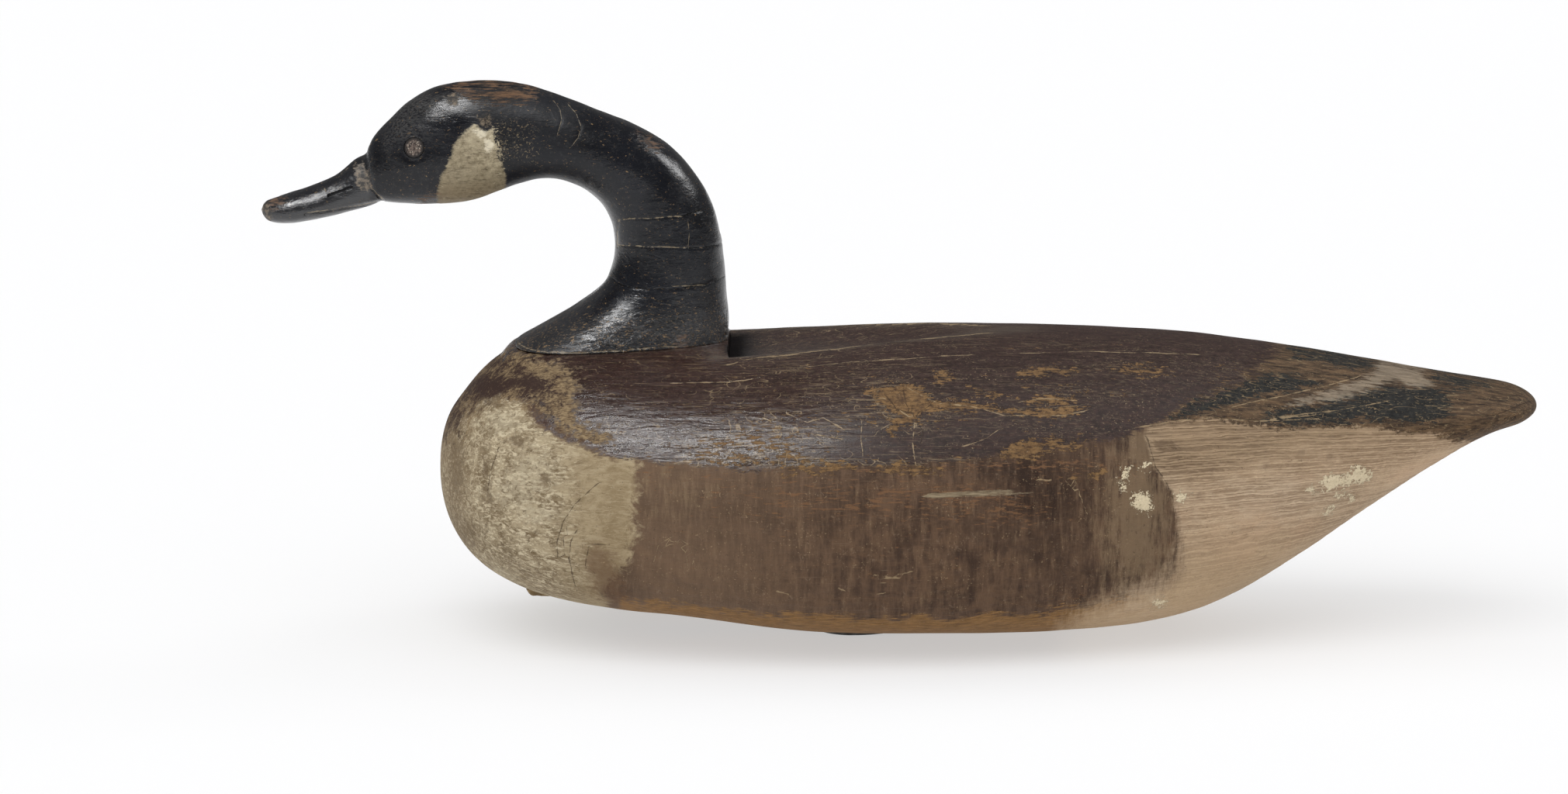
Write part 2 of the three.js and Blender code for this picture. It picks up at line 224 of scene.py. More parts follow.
# Paint areas of the body; the back's and the breast's share an edge
BREAST_TOP = [(540, 560), (575, 546), (600, 527), (625, 512), (647, 509), (683, 521), (694, 548),
              (727, 566), (764, 579), (783, 588)]
BACK = [(540, 380), (2021, 380), (2021, 560), (1925, 572), (1880, 570), (1843, 558), (1741, 550),
        (1659, 553), (1557, 541), (1516, 541), (1478, 549), (1450, 563), (1414, 573),
        (1292, 586), (1231, 596), (1150, 601), (1060, 604), (1000, 607), (920, 603), (860, 598),
        (816, 591), *BREAST_TOP[::-1]]
BREAST = [*BREAST_TOP, (808, 590), (819, 599), (822, 616), (819, 652), (819, 690), (814, 716),
          (806, 732), (788, 746), (780, 764), (784, 790), (790, 860), (540, 860)]
RUMP = [(1478, 549), (1475, 565), (1487, 603), (1501, 621), (1512, 649), (1519, 683),
        (1519, 718), (1508, 745), (1475, 764), (1407, 784), (1370, 812), (1360, 860), (2100, 860),
        (2100, 440), (1889, 480)]
TAIL = [(1640, 380), (1652, 440), (1628, 468), (1590, 496), (1530, 522), (1500, 545),
        (1560, 580), (2100, 600), (2100, 380)]
BOTTOM = [(800, 768), (852, 779), (942, 786), (1031, 793), (1120, 798), (1240, 798), (1276, 793),
          (1353, 790), (1430, 780), (1480, 768), (1500, 860), (800, 860)]
# What is left of the tail's black bands, and its pale places
TAIL_BLACK = [
    [(1662, 448), (1712, 452), (1776, 466), (1785, 475), (1750, 476), (1705, 469), (1668, 461)],
    [(1500, 544), (1540, 520), (1572, 506), (1600, 494), (1625, 484), (1660, 483), (1700, 489),
     (1708, 496), (1665, 503), (1630, 508), (1590, 518), (1550, 530)],
    [(1630, 531), (1659, 525), (1710, 519), (1751, 503), (1787, 499), (1843, 497), (1868, 512),
     (1874, 532), (1848, 542), (1802, 543), (1751, 541), (1710, 548), (1659, 548), (1632, 541)],
    [(1843, 474), (1889, 488), (1922, 497), (1884, 502), (1850, 488)],
]
TAIL_PALE = [
    [(1781, 466), (1807, 470), (1832, 479), (1848, 497), (1827, 498), (1802, 490), (1787, 497),
     (1751, 504), (1730, 515), (1660, 520), (1700, 509), (1751, 492), (1771, 484)],
]
# Small places of the body: bare wood, rust-brown stains, flaked cream paint and the long gouge
BARE = [
    [(1138, 502), (1165, 494), (1183, 496), (1198, 513), (1218, 520), (1240, 517), (1262, 528),
     (1240, 531), (1209, 528), (1187, 536), (1174, 550), (1160, 550), (1151, 559), (1146, 553),
     (1156, 537), (1142, 526), (1125, 514), (1111, 505)],
    [(1246, 524), (1287, 531), (1322, 537), (1368, 536), (1404, 527), (1388, 524), (1350, 529),
     (1300, 528)],
    [(1312, 515), (1345, 511), (1386, 514), (1372, 519), (1330, 520)],
    [(1289, 586), (1310, 573), (1333, 568), (1368, 568), (1404, 567), (1416, 572), (1379, 579),
     (1343, 578), (1338, 589), (1302, 589)],
    [(1000, 604), (1030, 602), (1060, 605), (1078, 598), (1108, 598), (1100, 606), (1060, 609),
     (1010, 608)],
    [(1122, 604), (1160, 601), (1186, 604), (1212, 606), (1208, 612), (1180, 608), (1150, 609)],
    [(1410, 611), (1436, 608), (1412, 615), (1370, 616)],
    [(1202, 484), (1216, 482), (1226, 490), (1220, 493), (1206, 489)],
    [(1314, 482), (1330, 476), (1366, 474), (1392, 477), (1376, 481), (1340, 483)],
    [(1434, 478), (1470, 473), (1502, 475), (1496, 480), (1450, 481)],
    [(1248, 499), (1262, 500), (1290, 508), (1284, 512), (1262, 506)],
]
RUSTY = [
    [(757, 704), (771, 700), (786, 705), (795, 722), (800, 745), (806, 770), (790, 778),
     (772, 768), (760, 748), (752, 726)],
    [(1212, 485), (1225, 485), (1226, 491), (1214, 491)],
]
CREAM = [
    [(1702, 621), (1710, 614), (1725, 613), (1741, 611), (1746, 601), (1754, 604), (1766, 611),
     (1767, 616), (1756, 624), (1748, 621), (1741, 622), (1735, 627), (1728, 624), (1720, 632),
     (1707, 632)],
    [(1685, 630), (1692, 628), (1698, 632), (1690, 635)],
    [(1722, 637), (1731, 634), (1733, 638), (1725, 641)],
    [(1736, 641), (1745, 637), (1746, 642), (1740, 645)],
    [(1707, 661), (1718, 654), (1716, 660), (1709, 664)],
    [(1463, 637), (1478, 636), (1484, 644), (1481, 660), (1473, 660), (1459, 653)],
    [(1447, 606), (1458, 603), (1455, 613), (1447, 616)],
    [(1441, 620), (1450, 618), (1449, 624), (1441, 625)],
    [(1446, 629), (1453, 628), (1452, 634), (1446, 634)],
    [(1472, 599), (1480, 597), (1478, 604), (1473, 604)],
    [(1514, 640), (1524, 637), (1532, 636), (1529, 644), (1518, 648)],
    [(1487, 775), (1500, 773), (1498, 780), (1489, 782)],
]
GOUGE = [(1174, 638), (1200, 636), (1250, 634), (1300, 631), (1336, 634), (1300, 638),
         (1250, 641), (1200, 642)]
# Soft spots of the body, each with its place across and down, half sizes and strength: where the
# paint is worn in flecks, where it is dark and where it is pale. The dark spot at 1495, 572, in
# the upper front corner of the bare rump, is a painted shadow.
WORN_SPOTS = [
    (1165, 530, 70, 34, 0.8), (1330, 540, 110, 30, 0.5), (1250, 598, 180, 10, 0.8),
    (1040, 602, 90, 8, 0.6), (1050, 485, 160, 36, 0.5), (700, 510, 40, 40, 0.3),
    (650, 480, 50, 30, 0.3), (600, 520, 40, 40, 0.4), (770, 560, 70, 16, 0.6),
    (1570, 480, 100, 24, 0.5), (1380, 480, 110, 14, 0.4), (1000, 560, 90, 34, 0.7),
    (1090, 645, 170, 34, 0.9), (1410, 608, 90, 16, 0.8), (1290, 658, 80, 26, 0.9),
    (850, 610, 50, 20, 0.5), (1150, 735, 160, 30, 0.3), (1420, 775, 80, 16, 0.7),
    (1230, 640, 40, 14, 0.6), (990, 590, 60, 8, 0.6), (930, 582, 76, 18, 0.9),
    (1420, 508, 80, 8, 0.7), (1440, 470, 60, 8, 0.4), (1350, 498, 50, 6, 0.6),
    (1340, 445, 180, 10, 0.5),
]
DARK_SPOTS = [
    (1345, 630, 60, 45, 0.9), (1290, 600, 60, 14, 0.5), (668, 568, 15, 11, 0.7),
    (703, 618, 8, 12, 0.8), (626, 610, 7, 45, 0.8), (588, 600, 14, 70, 0.8),
    (692, 498, 24, 12, 0.8), (626, 504, 22, 20, 0.9), (655, 492, 34, 10, 0.6),
    (630, 466, 24, 8, 0.7), (670, 476, 12, 8, 0.6), (585, 520, 12, 22, 0.4),
    (655, 715, 22, 20, 0.5), (690, 740, 40, 14, 0.5), (745, 640, 10, 30, 0.4),
    (785, 735, 26, 20, 0.7), (605, 690, 22, 26, 0.6), (1495, 572, 24, 16, 0.7),
    (640, 650, 12, 12, 0.5), (720, 690, 10, 24, 0.5), (1180, 480, 200, 20, 0.3),
    (940, 660, 120, 40, 0.2), (760, 765, 60, 14, 0.6), (1360, 720, 40, 40, 0.4),
]
PALE_SPOTS = [
    (645, 545, 30, 16, 0.9), (790, 756, 16, 16, 0.7), (690, 600, 46, 34, 0.7),
    (660, 640, 40, 26, 0.6), (650, 740, 30, 14, 0.7), (700, 665, 30, 16, 0.6),
    (1466, 680, 50, 110, 0.95), (860, 640, 60, 40, 0.5), (1660, 640, 120, 40, 0.6),
    (1470, 572, 16, 20, 0.6),
]

# Scratches that show the wood, and cracks, each with its width. Two of the scratch lines, along
# the near crest of the back, are a painted highlight.
BODY_SCRATCHES_AND_HIGHLIGHTS = [
    (1.0, [(985, 540), (993, 543), (1007, 551)]),
    (1.0, [(1015, 534), (1040, 545), (1060, 538), (1087, 553)]),
    (0.8, [(1020, 560), (1050, 560), (1085, 565)]),
    (0.5, [(1299, 456), (1400, 453), (1544, 457)]),
    (0.7, [(860, 494), (942, 493), (981, 487)]),
    (0.9, [(1112, 545), (1110, 566), (1112, 590)]),
    (0.9, [(1180, 540), (1176, 570), (1180, 600)]),
    (1.3, [(1130, 742), (1150, 741), (1173, 738)]),
    (1.1, [(1136, 746), (1158, 744)]),
    (1.5, [(1003, 763), (1014, 766)]),
    (1.4, [(1083, 760), (1090, 762)]),
    (1.2, [(1126, 767), (1140, 765)]),
    (1.2, [(1338, 618), (1352, 620)]),
    # Painted highlight along the near crest of the back, beside the hollow
    (0.8, [(937, 470), (971, 462), (1002, 459), (1059, 452), (1100, 447), (1151, 440)]),
    (0.8, [(1375, 622), (1392, 640), (1400, 662)]),
    (0.9, [(1450, 556), (1475, 550), (1521, 542), (1560, 539), (1620, 543), (1700, 540)]),
    (0.7, [(1590, 524), (1700, 500), (1752, 486)]),
    (0.7, [(1640, 538), (1720, 530), (1800, 515)]),
    (0.7, [(1116, 510), (1140, 514), (1169, 536), (1184, 541)]),
    (0.9, [(1169, 499), (1207, 520), (1252, 524), (1293, 536), (1335, 537), (1375, 534),
           (1403, 529)]),
    (0.7, [(1310, 520), (1343, 514), (1388, 516)]),
    (0.8, [(987, 541), (996, 548), (1007, 559)]),
    (0.7, [(1002, 561), (1006, 575), (1004, 598)]),
    (0.6, [(1029, 474), (1087, 468), (1169, 462), (1252, 458)]),
    # Painted highlight: the same crest line, on towards the tail
    (0.7, [(1151, 440), (1194, 437), (1240, 432), (1277, 430)]),
    (0.6, [(1385, 617), (1393, 640), (1399, 655)]),
    (0.7, [(1242, 575), (1270, 566), (1290, 552)]),
    (0.5, [(852, 716), (859, 703), (872, 701), (883, 712), (886, 730)]),
    (0.5, [(843, 724), (849, 702), (868, 691), (889, 703), (896, 734)]),
]
BODY_CRACKS = [
    (2.2, [(1289, 527), (1298, 527)]),
    (0.7, [(772, 623), (740, 651), (725, 673), (717, 699), (718, 716)]),
    (0.9, [(742, 686), (735, 699), (733, 720), (739, 749), (744, 760)]),
    (0.6, [(781, 702), (759, 702), (754, 731)]),
    (0.7, [(1141, 510), (1156, 527), (1177, 535), (1215, 514), (1248, 502)]),
    (0.6, [(1177, 535), (1168, 520), (1164, 500)]),
    (0.8, [(1177, 535), (1190, 556), (1186, 575)]),
    (0.7, [(1156, 527), (1140, 545), (1135, 566)]),
    (0.6, [(1200, 516), (1212, 526), (1240, 524)]),
    (1.0, [(1478, 565), (1490, 603), (1503, 622), (1513, 650)]),
    (0.7, [(1892, 547), (1930, 534), (1974, 517)]),
    (0.7, [(643, 577), (632, 610), (627, 642)]),
    (0.6, [(560, 620), (563, 650), (572, 690)]),
]
# The front of the back that is rubbed down, and the dark stripe along its lower edge
RUBBED = [(590, 452), (640, 455), (700, 462), (740, 476), (744, 505), (742, 540), (778, 572),
          (766, 572), (731, 556), (706, 540), (690, 524), (668, 520), (640, 518), (618, 526),
          (600, 544), (582, 566), (560, 590), (540, 600), (550, 500)]
EDGE_STRIPE = [(678, 512), (690, 524), (706, 542), (731, 558), (766, 574), (790, 586), (784, 592),
               (760, 583), (724, 567), (698, 552), (682, 534)]
# Knots of the bare rump and small round dents, and how far they reach
SPOT_RADIUS = 6
KNOTS = [(1563, 606), (1632, 601), (1678, 583), (1714, 588), (1545, 640)]
DINGS = [(1015, 765), (1151, 767), (1293, 526), (1040, 600)]

# Paint areas and lines of the head and neck
CHEEK = [(611, 160), (604, 165), (595, 174), (586, 184), (581, 199), (574, 214), (568, 226),
         (564, 242), (562, 262), (600, 280), (664, 262), (649, 241), (649, 223), (643, 211),
         (640, 195), (635, 182), (634, 168), (624, 170), (617, 165)]
HEAD_WORN = [
    [(590, 117), (618, 117), (650, 113), (668, 107), (688, 115), (686, 124), (664, 131),
     (636, 130), (608, 126)],
    [(574, 108), (600, 105), (640, 107), (640, 112), (600, 111)],
    [(873, 446), (880, 433), (884, 446)],
    [(345, 250), (362, 247), (358, 262), (350, 268)],
    [(826, 176), (836, 178), (846, 190), (838, 188)],
    [(545, 258), (566, 256), (566, 264), (545, 263)],
]
HEAD_GREY = [
    [(572, 126), (584, 120), (594, 126), (588, 138), (575, 137)],
    [(617, 151), (632, 148), (633, 163), (620, 163)],
    [(458, 211), (469, 211), (478, 228), (480, 242), (469, 243), (460, 237)],
    [(330, 262), (346, 262), (352, 272), (350, 290), (330, 290)],
]
# Where the black behind the eye is speckled, soft spots where the black is greyed by dust and by
# painted sheen on the forehead and the neck, and soft spots of pale paint
SPECKLED = [(636, 148), (690, 150), (702, 190), (690, 215), (646, 210), (636, 190)]
DUST_AND_SHEEN_SPOTS = [
    (520, 160, 20, 22, 0.7), (546, 134, 26, 14, 0.8), (590, 128, 26, 8, 0.6),
    (500, 186, 10, 16, 0.4), (545, 176, 34, 10, 0.3), (800, 425, 60, 20, 0.5),
    (885, 225, 14, 50, 0.3), (890, 425, 40, 20, 0.5),
]
CHEEK_SPOTS = [(630, 188, 7, 11, 1.0), (620, 172, 9, 7, 0.8), (611, 168, 5, 4, 0.5)]
HEAD_SCRATCHES_AND_HIGHLIGHTS = [
    (0.9, [(798, 284), (812, 282), (840, 282), (861, 280), (879, 279)]),
    (0.9, [(797, 285), (796, 300), (796, 319)]),
    (0.8, [(796, 315), (813, 317), (835, 319), (857, 319), (889, 320)]),
    (0.4, [(887, 285), (888, 300), (887, 320)]),
    (0.5, [(714, 131), (722, 142), (724, 154), (718, 174)]),
    (0.6, [(732, 135), (743, 147), (749, 163), (745, 178), (736, 190)]),
    # Painted highlight along the upper edge of the bill
    (0.9, [(437, 227), (449, 216)]),
    # Painted highlight along the lower edge of the bill
    (0.8, [(394, 275), (430, 270), (465, 264), (492, 258)]),
    (0.9, [(480, 243), (487, 250), (494, 257)]),
    (1.2, [(669, 443), (680, 449), (704, 454), (746, 455), (800, 452), (845, 448), (872, 446)]),
    (0.7, [(867, 369), (889, 369), (906, 368)]),
    (0.6, [(924, 270), (928, 300)]),
    (0.8, [(418, 243), (421, 250)]),
]
HEAD_CRACKS = [
    (1.0, [(879, 279), (892, 275), (902, 271), (908, 272), (909, 277)]),
    (1.0, [(791, 360), (800, 367), (813, 371), (835, 373), (868, 373), (906, 369), (922, 362),
           (933, 357)]),
    (0.8, [(889, 320), (907, 320), (922, 316), (932, 313)]),
    (1.1, [(394, 277), (430, 272), (465, 266), (495, 259)]),
    (1.1, [(479, 245), (486, 252), (493, 259)]),
    (0.8, [(738, 444), (760, 440), (795, 447), (830, 449)]),
]

# How far marks are moved to get uneven outlines, in lumps of which size and from which noise
WOBBLES = [(4, 0.02, 0), (2, 0.006, 0.5)]

# How far off an area or a line points still tell their distance from it, lines in half widths;
# over what distances a line's paint fades away beside it and beyond its ends
AREA_REACH = 60
LINE_REACH = 20
FADE_BESIDE = (6, 11)
FADE_BEYOND = 5

# The soft ring cut round the eye: its radius and its width
SOCKET_RADIUS = 16
SOCKET_WIDTH = 4

# How much a point has to face the side view to show there; how far inside the hollow's outline
# its floor begins, as a share; and how much of the carving's relief the underside gets
GRAZING = 0.06
HOLLOW_FLOOR = 0.06
UNDERSIDE_SHARE = 0.3


def smooth(scale, values, at):
    """A smooth curve through a column of values, read at places on its rising scale."""
    count = np.arange(len(scale))
    before = np.maximum(count - 1, 0)
    after = np.minimum(count + 1, len(scale) - 1)
    slope = (values[after] - values[before]) / (scale[after] - scale[before])
    i = np.clip(np.searchsorted(scale, at, side="right") - 1, 0, len(scale) - 2)
    step = scale[i + 1] - scale[i]
    t = (at - scale[i]) / step
    return (
        (2 * t**3 - 3 * t**2 + 1) * values[i]
        + (t**3 - 2 * t**2 + t) * step * slope[i]
        + (3 * t**2 - 2 * t**3) * values[i + 1]
        + (t**3 - t**2) * step * slope[i + 1]
    )


def bent(value, power):
    """A signed power, for superellipses."""
    return np.sign(value) * np.abs(value) ** power


def ease(value, low, high):
    """From 0 to 1 as the value runs from low to high, without corners."""
    t = np.clip((value - low) / (high - low), 0, 1)
    return t * t * (3 - 2 * t)


def end_round(share):
    return np.arccos(1 - 2 * share) / math.pi


BODY_SCALE = end_round(BODY_ROWS[:, 0] / 100)
HEAD_SCALE = np.arange(len(HEAD_ROWS), dtype=float)
FOOT_BACK, FOOT_RISE, FOOT_HALF, FOOT_POWER, FOOT_TAPER = HEAD_ROWS[0, 2:]
SEAT_LENGTH = FOOT_BACK / 100 * HEAD_HEIGHT
SEAT_LEVEL = BELLY_RISE + SEAT_SHARE * BODY_HEIGHT
WALL_X = SEAT_FRONT + SEAT_LENGTH


def belly(x):
    """The height of the body's underside, with x measured from the breast."""
    low = smooth(BODY_SCALE, BODY_ROWS[:, 2], end_round(x / BODY_LENGTH))
    return BELLY_RISE + low / 100 * BODY_HEIGHT


PAD_TOP = belly(PAD_MIDDLE) + PAD_INSET
TIE_BELLY = belly(TIE_FRONT + TIE_LENGTH / 2)


def footprint(x, y):
    """0 in the middle of the neck's footprint, 1 on its outline and more outside."""
    a = 2 * (x - SEAT_FRONT) / SEAT_LENGTH - 1
    half = FOOT_HALF / 100 * HEAD_HEIGHT * np.maximum(1 - FOOT_TAPER * a, FOOT_TAPER)
    return (np.abs(a) ** FOOT_POWER + np.abs(y / half) ** FOOT_POWER) ** (1 / FOOT_POWER)


def inside_hollow(x, y):
    """1 in the middle of the hollow's front wall, 0 on the hollow's rim and less outside."""
    return 1 - (x - WALL_X) / HOLLOW_LENGTH - (2 * y / HOLLOW_WIDTH) ** 2


def carved_top(x, y, z):
    """The height of the upper face with the neck's seat cut and the hollow scooped out."""
    seat = SEAT_LEVEL + FOOT_RISE / FOOT_BACK * (x - SEAT_FRONT) - GAP
    flat = np.minimum(z, seat)
    near = 1 - ease(footprint(x, y), SEAT_EDGE, SEAT_FADE)
    seated = flat + (seat - flat) * near
    inside = inside_hollow(x, y)
    wall = ease(x, WALL_X, WALL_X + WALL_RUN)
    scooped = z - HOLLOW_DEPTH * wall * (inside + np.hypot(inside, HOLLOW_SOFTNESS)) / 2
    return np.where(x <= WALL_X, seated, scooped)


def body_points(x, turn):
    """Points of the body's skin, with x measured from the breast."""
    at = end_round(np.clip(x / BODY_LENGTH, 0, 1))
    columns = [smooth(BODY_SCALE, BODY_ROWS[:, k], at) for k in range(1, 7)]
    top, low, wide = [BELLY_RISE + column / 100 * BODY_HEIGHT for column in columns[:3]]
    half = np.maximum(columns[3], 0) / 100 * BODY_WIDTH / 2
    c, d = np.cos(turn), np.sin(turn)
    power = 2 / np.where(d > 0, columns[4], columns[5])
    y = -half * bent(c, power)
    z = wide + np.where(d > 0, top - wide, wide - low) * bent(d, power)
    z = np.where(d > 0, carved_top(x, y, z), z)
    return np.stack([BREAST_X + x + 0 * y, y, z], axis=-1)


def head_points(row, turn):
    """Points of the head and neck's skin."""
    columns = [smooth(HEAD_SCALE, HEAD_ROWS[:, k], row) for k in range(7)]
    throat_x, throat_z, back_x, back_z, half, power, taper = columns
    a = bent(np.cos(turn), 2 / power)
    b = bent(np.sin(turn), 2 / power)
    x = (throat_x + back_x + a * (back_x - throat_x)) / 2
    y = half * b * (1 - taper * a)
    z = (throat_z + back_z + a * (back_z - throat_z)) / 2
    foot = [BREAST_X + SEAT_FRONT, 0, SEAT_LEVEL]
    return np.stack([x, y, z], axis=-1) * HEAD_HEIGHT / 100 + foot


def turns(count):
    return np.arange(count) * 2 * math.pi / count


def end_even(count):
    """Shares from 0 to 1, close together towards both ends."""
    return (1 - np.cos(np.linspace(0, math.pi, count))) / 2


def even_places(points_at, low, high, count):
    """Places from low to high between which the rings of a skin move on by equal steps."""
    fine = low + (high - low) * end_even(STEPS_ALONG)
    rings = points_at(fine[:, None], turns(LINES_ALONG)[None, :])
    moved = np.linalg.norm(np.diff(rings, axis=0), axis=2).max(axis=1)
    run = np.concatenate([[0], np.cumsum(moved)])
    return np.interp(np.linspace(0, run[-1], count + 2)[1:-1], run, fine)


def even_rings(points_at, places, count):
    """Rings of points a like distance apart, at the given places."""
    rings = []
    fine = turns(STEPS_AROUND)
    for place in places:
        ring = points_at(np.full(len(fine), place), fine)
        steps = np.linalg.norm(np.roll(ring, -1, axis=0) - ring, axis=1)
        run = np.concatenate([[0], np.cumsum(steps)])
        at = np.interp(np.arange(count) * run[-1] / count, run, np.append(fine, 2 * math.pi))
        rings.append(points_at(np.full(count, place), at))
    return np.array(rings)


def outward(rings):
    """The directions that stand out of a closed skin of rings."""
    along = np.gradient(rings, axis=0)
    around = np.roll(rings, -1, axis=1) - np.roll(rings, 1, axis=1)
    across = np.cross(along, around)
    across /= np.linalg.norm(across, axis=2, keepdims=True) + 1e-12
    away = rings - rings.mean(axis=1, keepdims=True)
    return across * np.where(np.sum(across * away) < 0, -1, 1)


def lumps(points, size, shift=0.0):
    """Soft noise at points, from about -0.5 to 0.5, with lumps of a size in each direction."""
    scaled = points.reshape(-1, 3) / np.array(size) + shift
    values = [noise.noise(place) for place in scaled.tolist()]
    return np.array(values).reshape(points.shape[:-1])


def seen(points):
    """Where points show from the side, in the picture; the far side counts as the near one."""
    ahead = (TARGET - EYE_POINT).normalized()
    upward = Vector((0, math.sin(ELEVATION), math.cos(ELEVATION)))
    mirrored = points.reshape(-1, 3) * [1, 0, 1]
    mirrored[:, 1] = -np.abs(points.reshape(-1, 3)[:, 1])
    offset = mirrored - EYE_POINT
    depth = offset @ np.array(ahead)
    scale = LENS / SENSOR * PICTURE_WIDTH / depth
    across = PICTURE_WIDTH / 2 + offset[:, 0] * scale
    down = PICTURE_HEIGHT / 2 - offset @ np.array(upward) * scale
    return np.stack([across, down], axis=1).reshape(*points.shape[:-1], 2)


def wobbled(places, points):
    """Places moved a little off their points, so that marks get uneven outlines."""
    shifts = [sum(reach * lumps(points, (size,) * 3, place + start)
                  for reach, size, place in WOBBLES) for start in (1, 7)]
    return places + np.stack(shifts, axis=-1)


def to_segment(places, start, end):
    """How far each place is from a segment, on which side of it and how far beyond its ends."""
    run = np.subtract(end, start).astype(float)
    length = np.hypot(*run)
    along = (places - start) @ run / length**2
    offset = places - (start + np.clip(along, 0, 1)[:, None] * run)
    beyond = np.maximum(-along, along - 1) * length
    side = np.where(run[0] * (places - start)[:, 1] - run[1] * (places - start)[:, 0] < 0, -1, 1)
    return np.hypot(*offset.T), side, beyond


def area(places, outlines):
    """How far inside the nearest outline each place is, negative outside."""
    flat = places.reshape(-1, 2)
    best = np.full(len(flat), -1e9)
    for outline in outlines:
        distance = np.full(len(flat), 1e9)
        within = np.zeros(len(flat), bool)
        for start, end in zip(outline, outline[1:] + outline[:1]):
            distance = np.minimum(distance, to_segment(flat, start, end)[0])
            crosses = (start[1] > flat[:, 1]) != (end[1] > flat[:, 1])
            rise = (end[1] - start[1]) or 1
            limit = start[0] + (flat[:, 1] - start[1]) * (end[0] - start[0]) / rise
            within ^= crosses & (flat[:, 0] < limit)
        best = np.maximum(best, np.where(within, distance, -distance))
    return best.reshape(places.shape[:-1])


def lines(places, strokes):
    """The signed distance to the nearest stroke in its half widths, and 1 near it, 0 away."""
    flat = places.reshape(-1, 2)
    side = np.full(len(flat), 1e9)
    near = np.zeros(len(flat))
    for width, stroke in strokes:
        for k, (start, end) in enumerate(zip(stroke, stroke[1:])):
            distance, sign, beyond = to_segment(flat, start, end)
            closer = distance / width < np.abs(side)
            side[closer] = (sign * distance / width)[closer]
            free_end = k in (0, len(stroke) - 2)
            shown = 1 - ease(distance, *FADE_BESIDE)
            if free_end:
                shown = shown * (1 - ease(beyond, 0, FADE_BEYOND))
            near[closer] = shown[closer]
    shape = places.shape[:-1]
    return side.reshape(shape), near.reshape(shape)


def groove(places, strokes, half_width):
    """1 in the middle of strokes, falling to 0 at a half width."""
    side, near = lines(places, [(1, stroke) for width, stroke in strokes])
    return near * np.clip(1 - np.abs(side) / half_width, 0, 1)


def dimples(places, spots, radius):
    """1 in the middle of round spots, falling to 0 at a radius."""
    away = [np.hypot(*(places - spot).reshape(-1, 2).T) for spot in spots]
    return np.clip(1 - np.min(away, axis=0) / radius, 0, 1).reshape(places.shape[:-1])


def soft_spots(places, spots):
    """How strong a group of soft spots is at places, from 0 to 1."""
    total = np.zeros(len(places))
    for x, y, wide, high, strength in spots:
        total += strength * np.exp(-(((places[:, 0] - x) / wide) ** 2
                                     + ((places[:, 1] - y) / high) ** 2))
    return np.clip(total, 0, 1)


def at_hollow(points):
    """How far points are behind the hollow's front wall and inside its rim, low ones outside."""
    x = points[..., 0] - BREAST_X
    high = points[..., 2] > SEAT_LEVEL - 2 * HOLLOW_DEPTH
    return x - WALL_X, np.where(high, inside_hollow(x, points[..., 1]), -1e3)


def in_hollow(points):
    """Which points lie in the hollow behind the neck."""
    behind, inside = at_hollow(points)
    return (inside > HOLLOW_FLOOR) & (behind > 0)


def notch_shade_share(points):
    """Painted shade in the corner of the hollow's front wall and floor: 1 there, 0 outside the
    hollow.
    """
    behind, inside = at_hollow(points)
    near = 1 - ease(behind, NOTCH_SHADE_LENGTH * 0.4, NOTCH_SHADE_LENGTH * 1.4)
    return near * ease(inside, HOLLOW_FLOOR, 0.34) * (behind > 0)


def on_rim(points):
    """1 on the rim of the hollow behind the neck, 0 away from it."""
    behind, inside = at_hollow(points)
    return np.exp(-((inside - 0.03) / 0.14) ** 2) * (behind > -0.01)


def growth_rings(points):
    """A number that rises by one from each growth ring of the wood to the next."""
    bow = np.hypot(points[..., 1] * RING_FLATNESS, points[..., 2] + PITH_DEPTH)
    return bow / RING_WIDTH + RING_WANDER * lumps(points, (0.30, 0.10, 0.06), 3.1)


def add_object(name, data):
    """A new object in the scene."""
    made = bpy.data.objects.new(name, data)
    bpy.context.scene.collection.objects.link(made)
    return made


def mesh_object(name, rings, first_pole, last_pole):
    """One closed skin over rings of points, drawn together to a point at either end."""
    count, around = rings.shape[:2]
    points = np.concatenate([[first_pole], rings.reshape(-1, 3), [last_pole]])
    ring = 1 + np.arange(count)[:, None] * around + np.arange(around + 1)[None, :] % around
    quads = np.stack([ring[:-1, :-1], ring[1:, :-1], ring[1:, 1:], ring[:-1, 1:]], axis=-1)
    first = np.stack([0 * ring[0, :-1], ring[0, :-1], ring[0, 1:]], axis=-1)
    last = np.stack([0 * ring[0, :-1] + len(points) - 1, ring[-1, 1:], ring[-1, :-1]], axis=-1)
    faces = first.tolist() + quads.reshape(-1, 4).tolist() + last.tolist()
    mesh = bpy.data.meshes.new(name)
    mesh.from_pydata(points.tolist(), [], faces)
    piece = add_object(name, mesh)
    work = bmesh.new()
    work.from_mesh(mesh)
    bmesh.ops.recalc_face_normals(work, faces=work.faces)
    if work.calc_volume(signed=True) < 0:
        bmesh.ops.reverse_faces(work, faces=work.faces)
    work.to_mesh(mesh)
    work.free()
    return piece


def lidded(name, rings):
    """A closed skin over rings, with a flat lid at either end."""
    return mesh_object(name, rings, rings[0].mean(axis=0), rings[-1].mean(axis=0))


def cut(piece, tools):
    """Takes closed tools out of a piece, and the tools out of the scene."""
    for tool in tools:
        modifier = piece.modifiers.new("cut", "BOOLEAN")
        modifier.solver = "MANIFOLD"
        modifier.object = tool
    view = bpy.context.evaluated_depsgraph_get()
    made = bpy.data.meshes.new_from_object(piece.evaluated_get(view))
    piece.modifiers.clear()
    piece.data = made
    for tool in tools:
        bpy.data.objects.remove(tool)


def corners(piece):
    values = np.empty(len(piece.data.vertices) * 3)
    piece.data.vertices.foreach_get("co", values)
    return values.reshape(-1, 3)


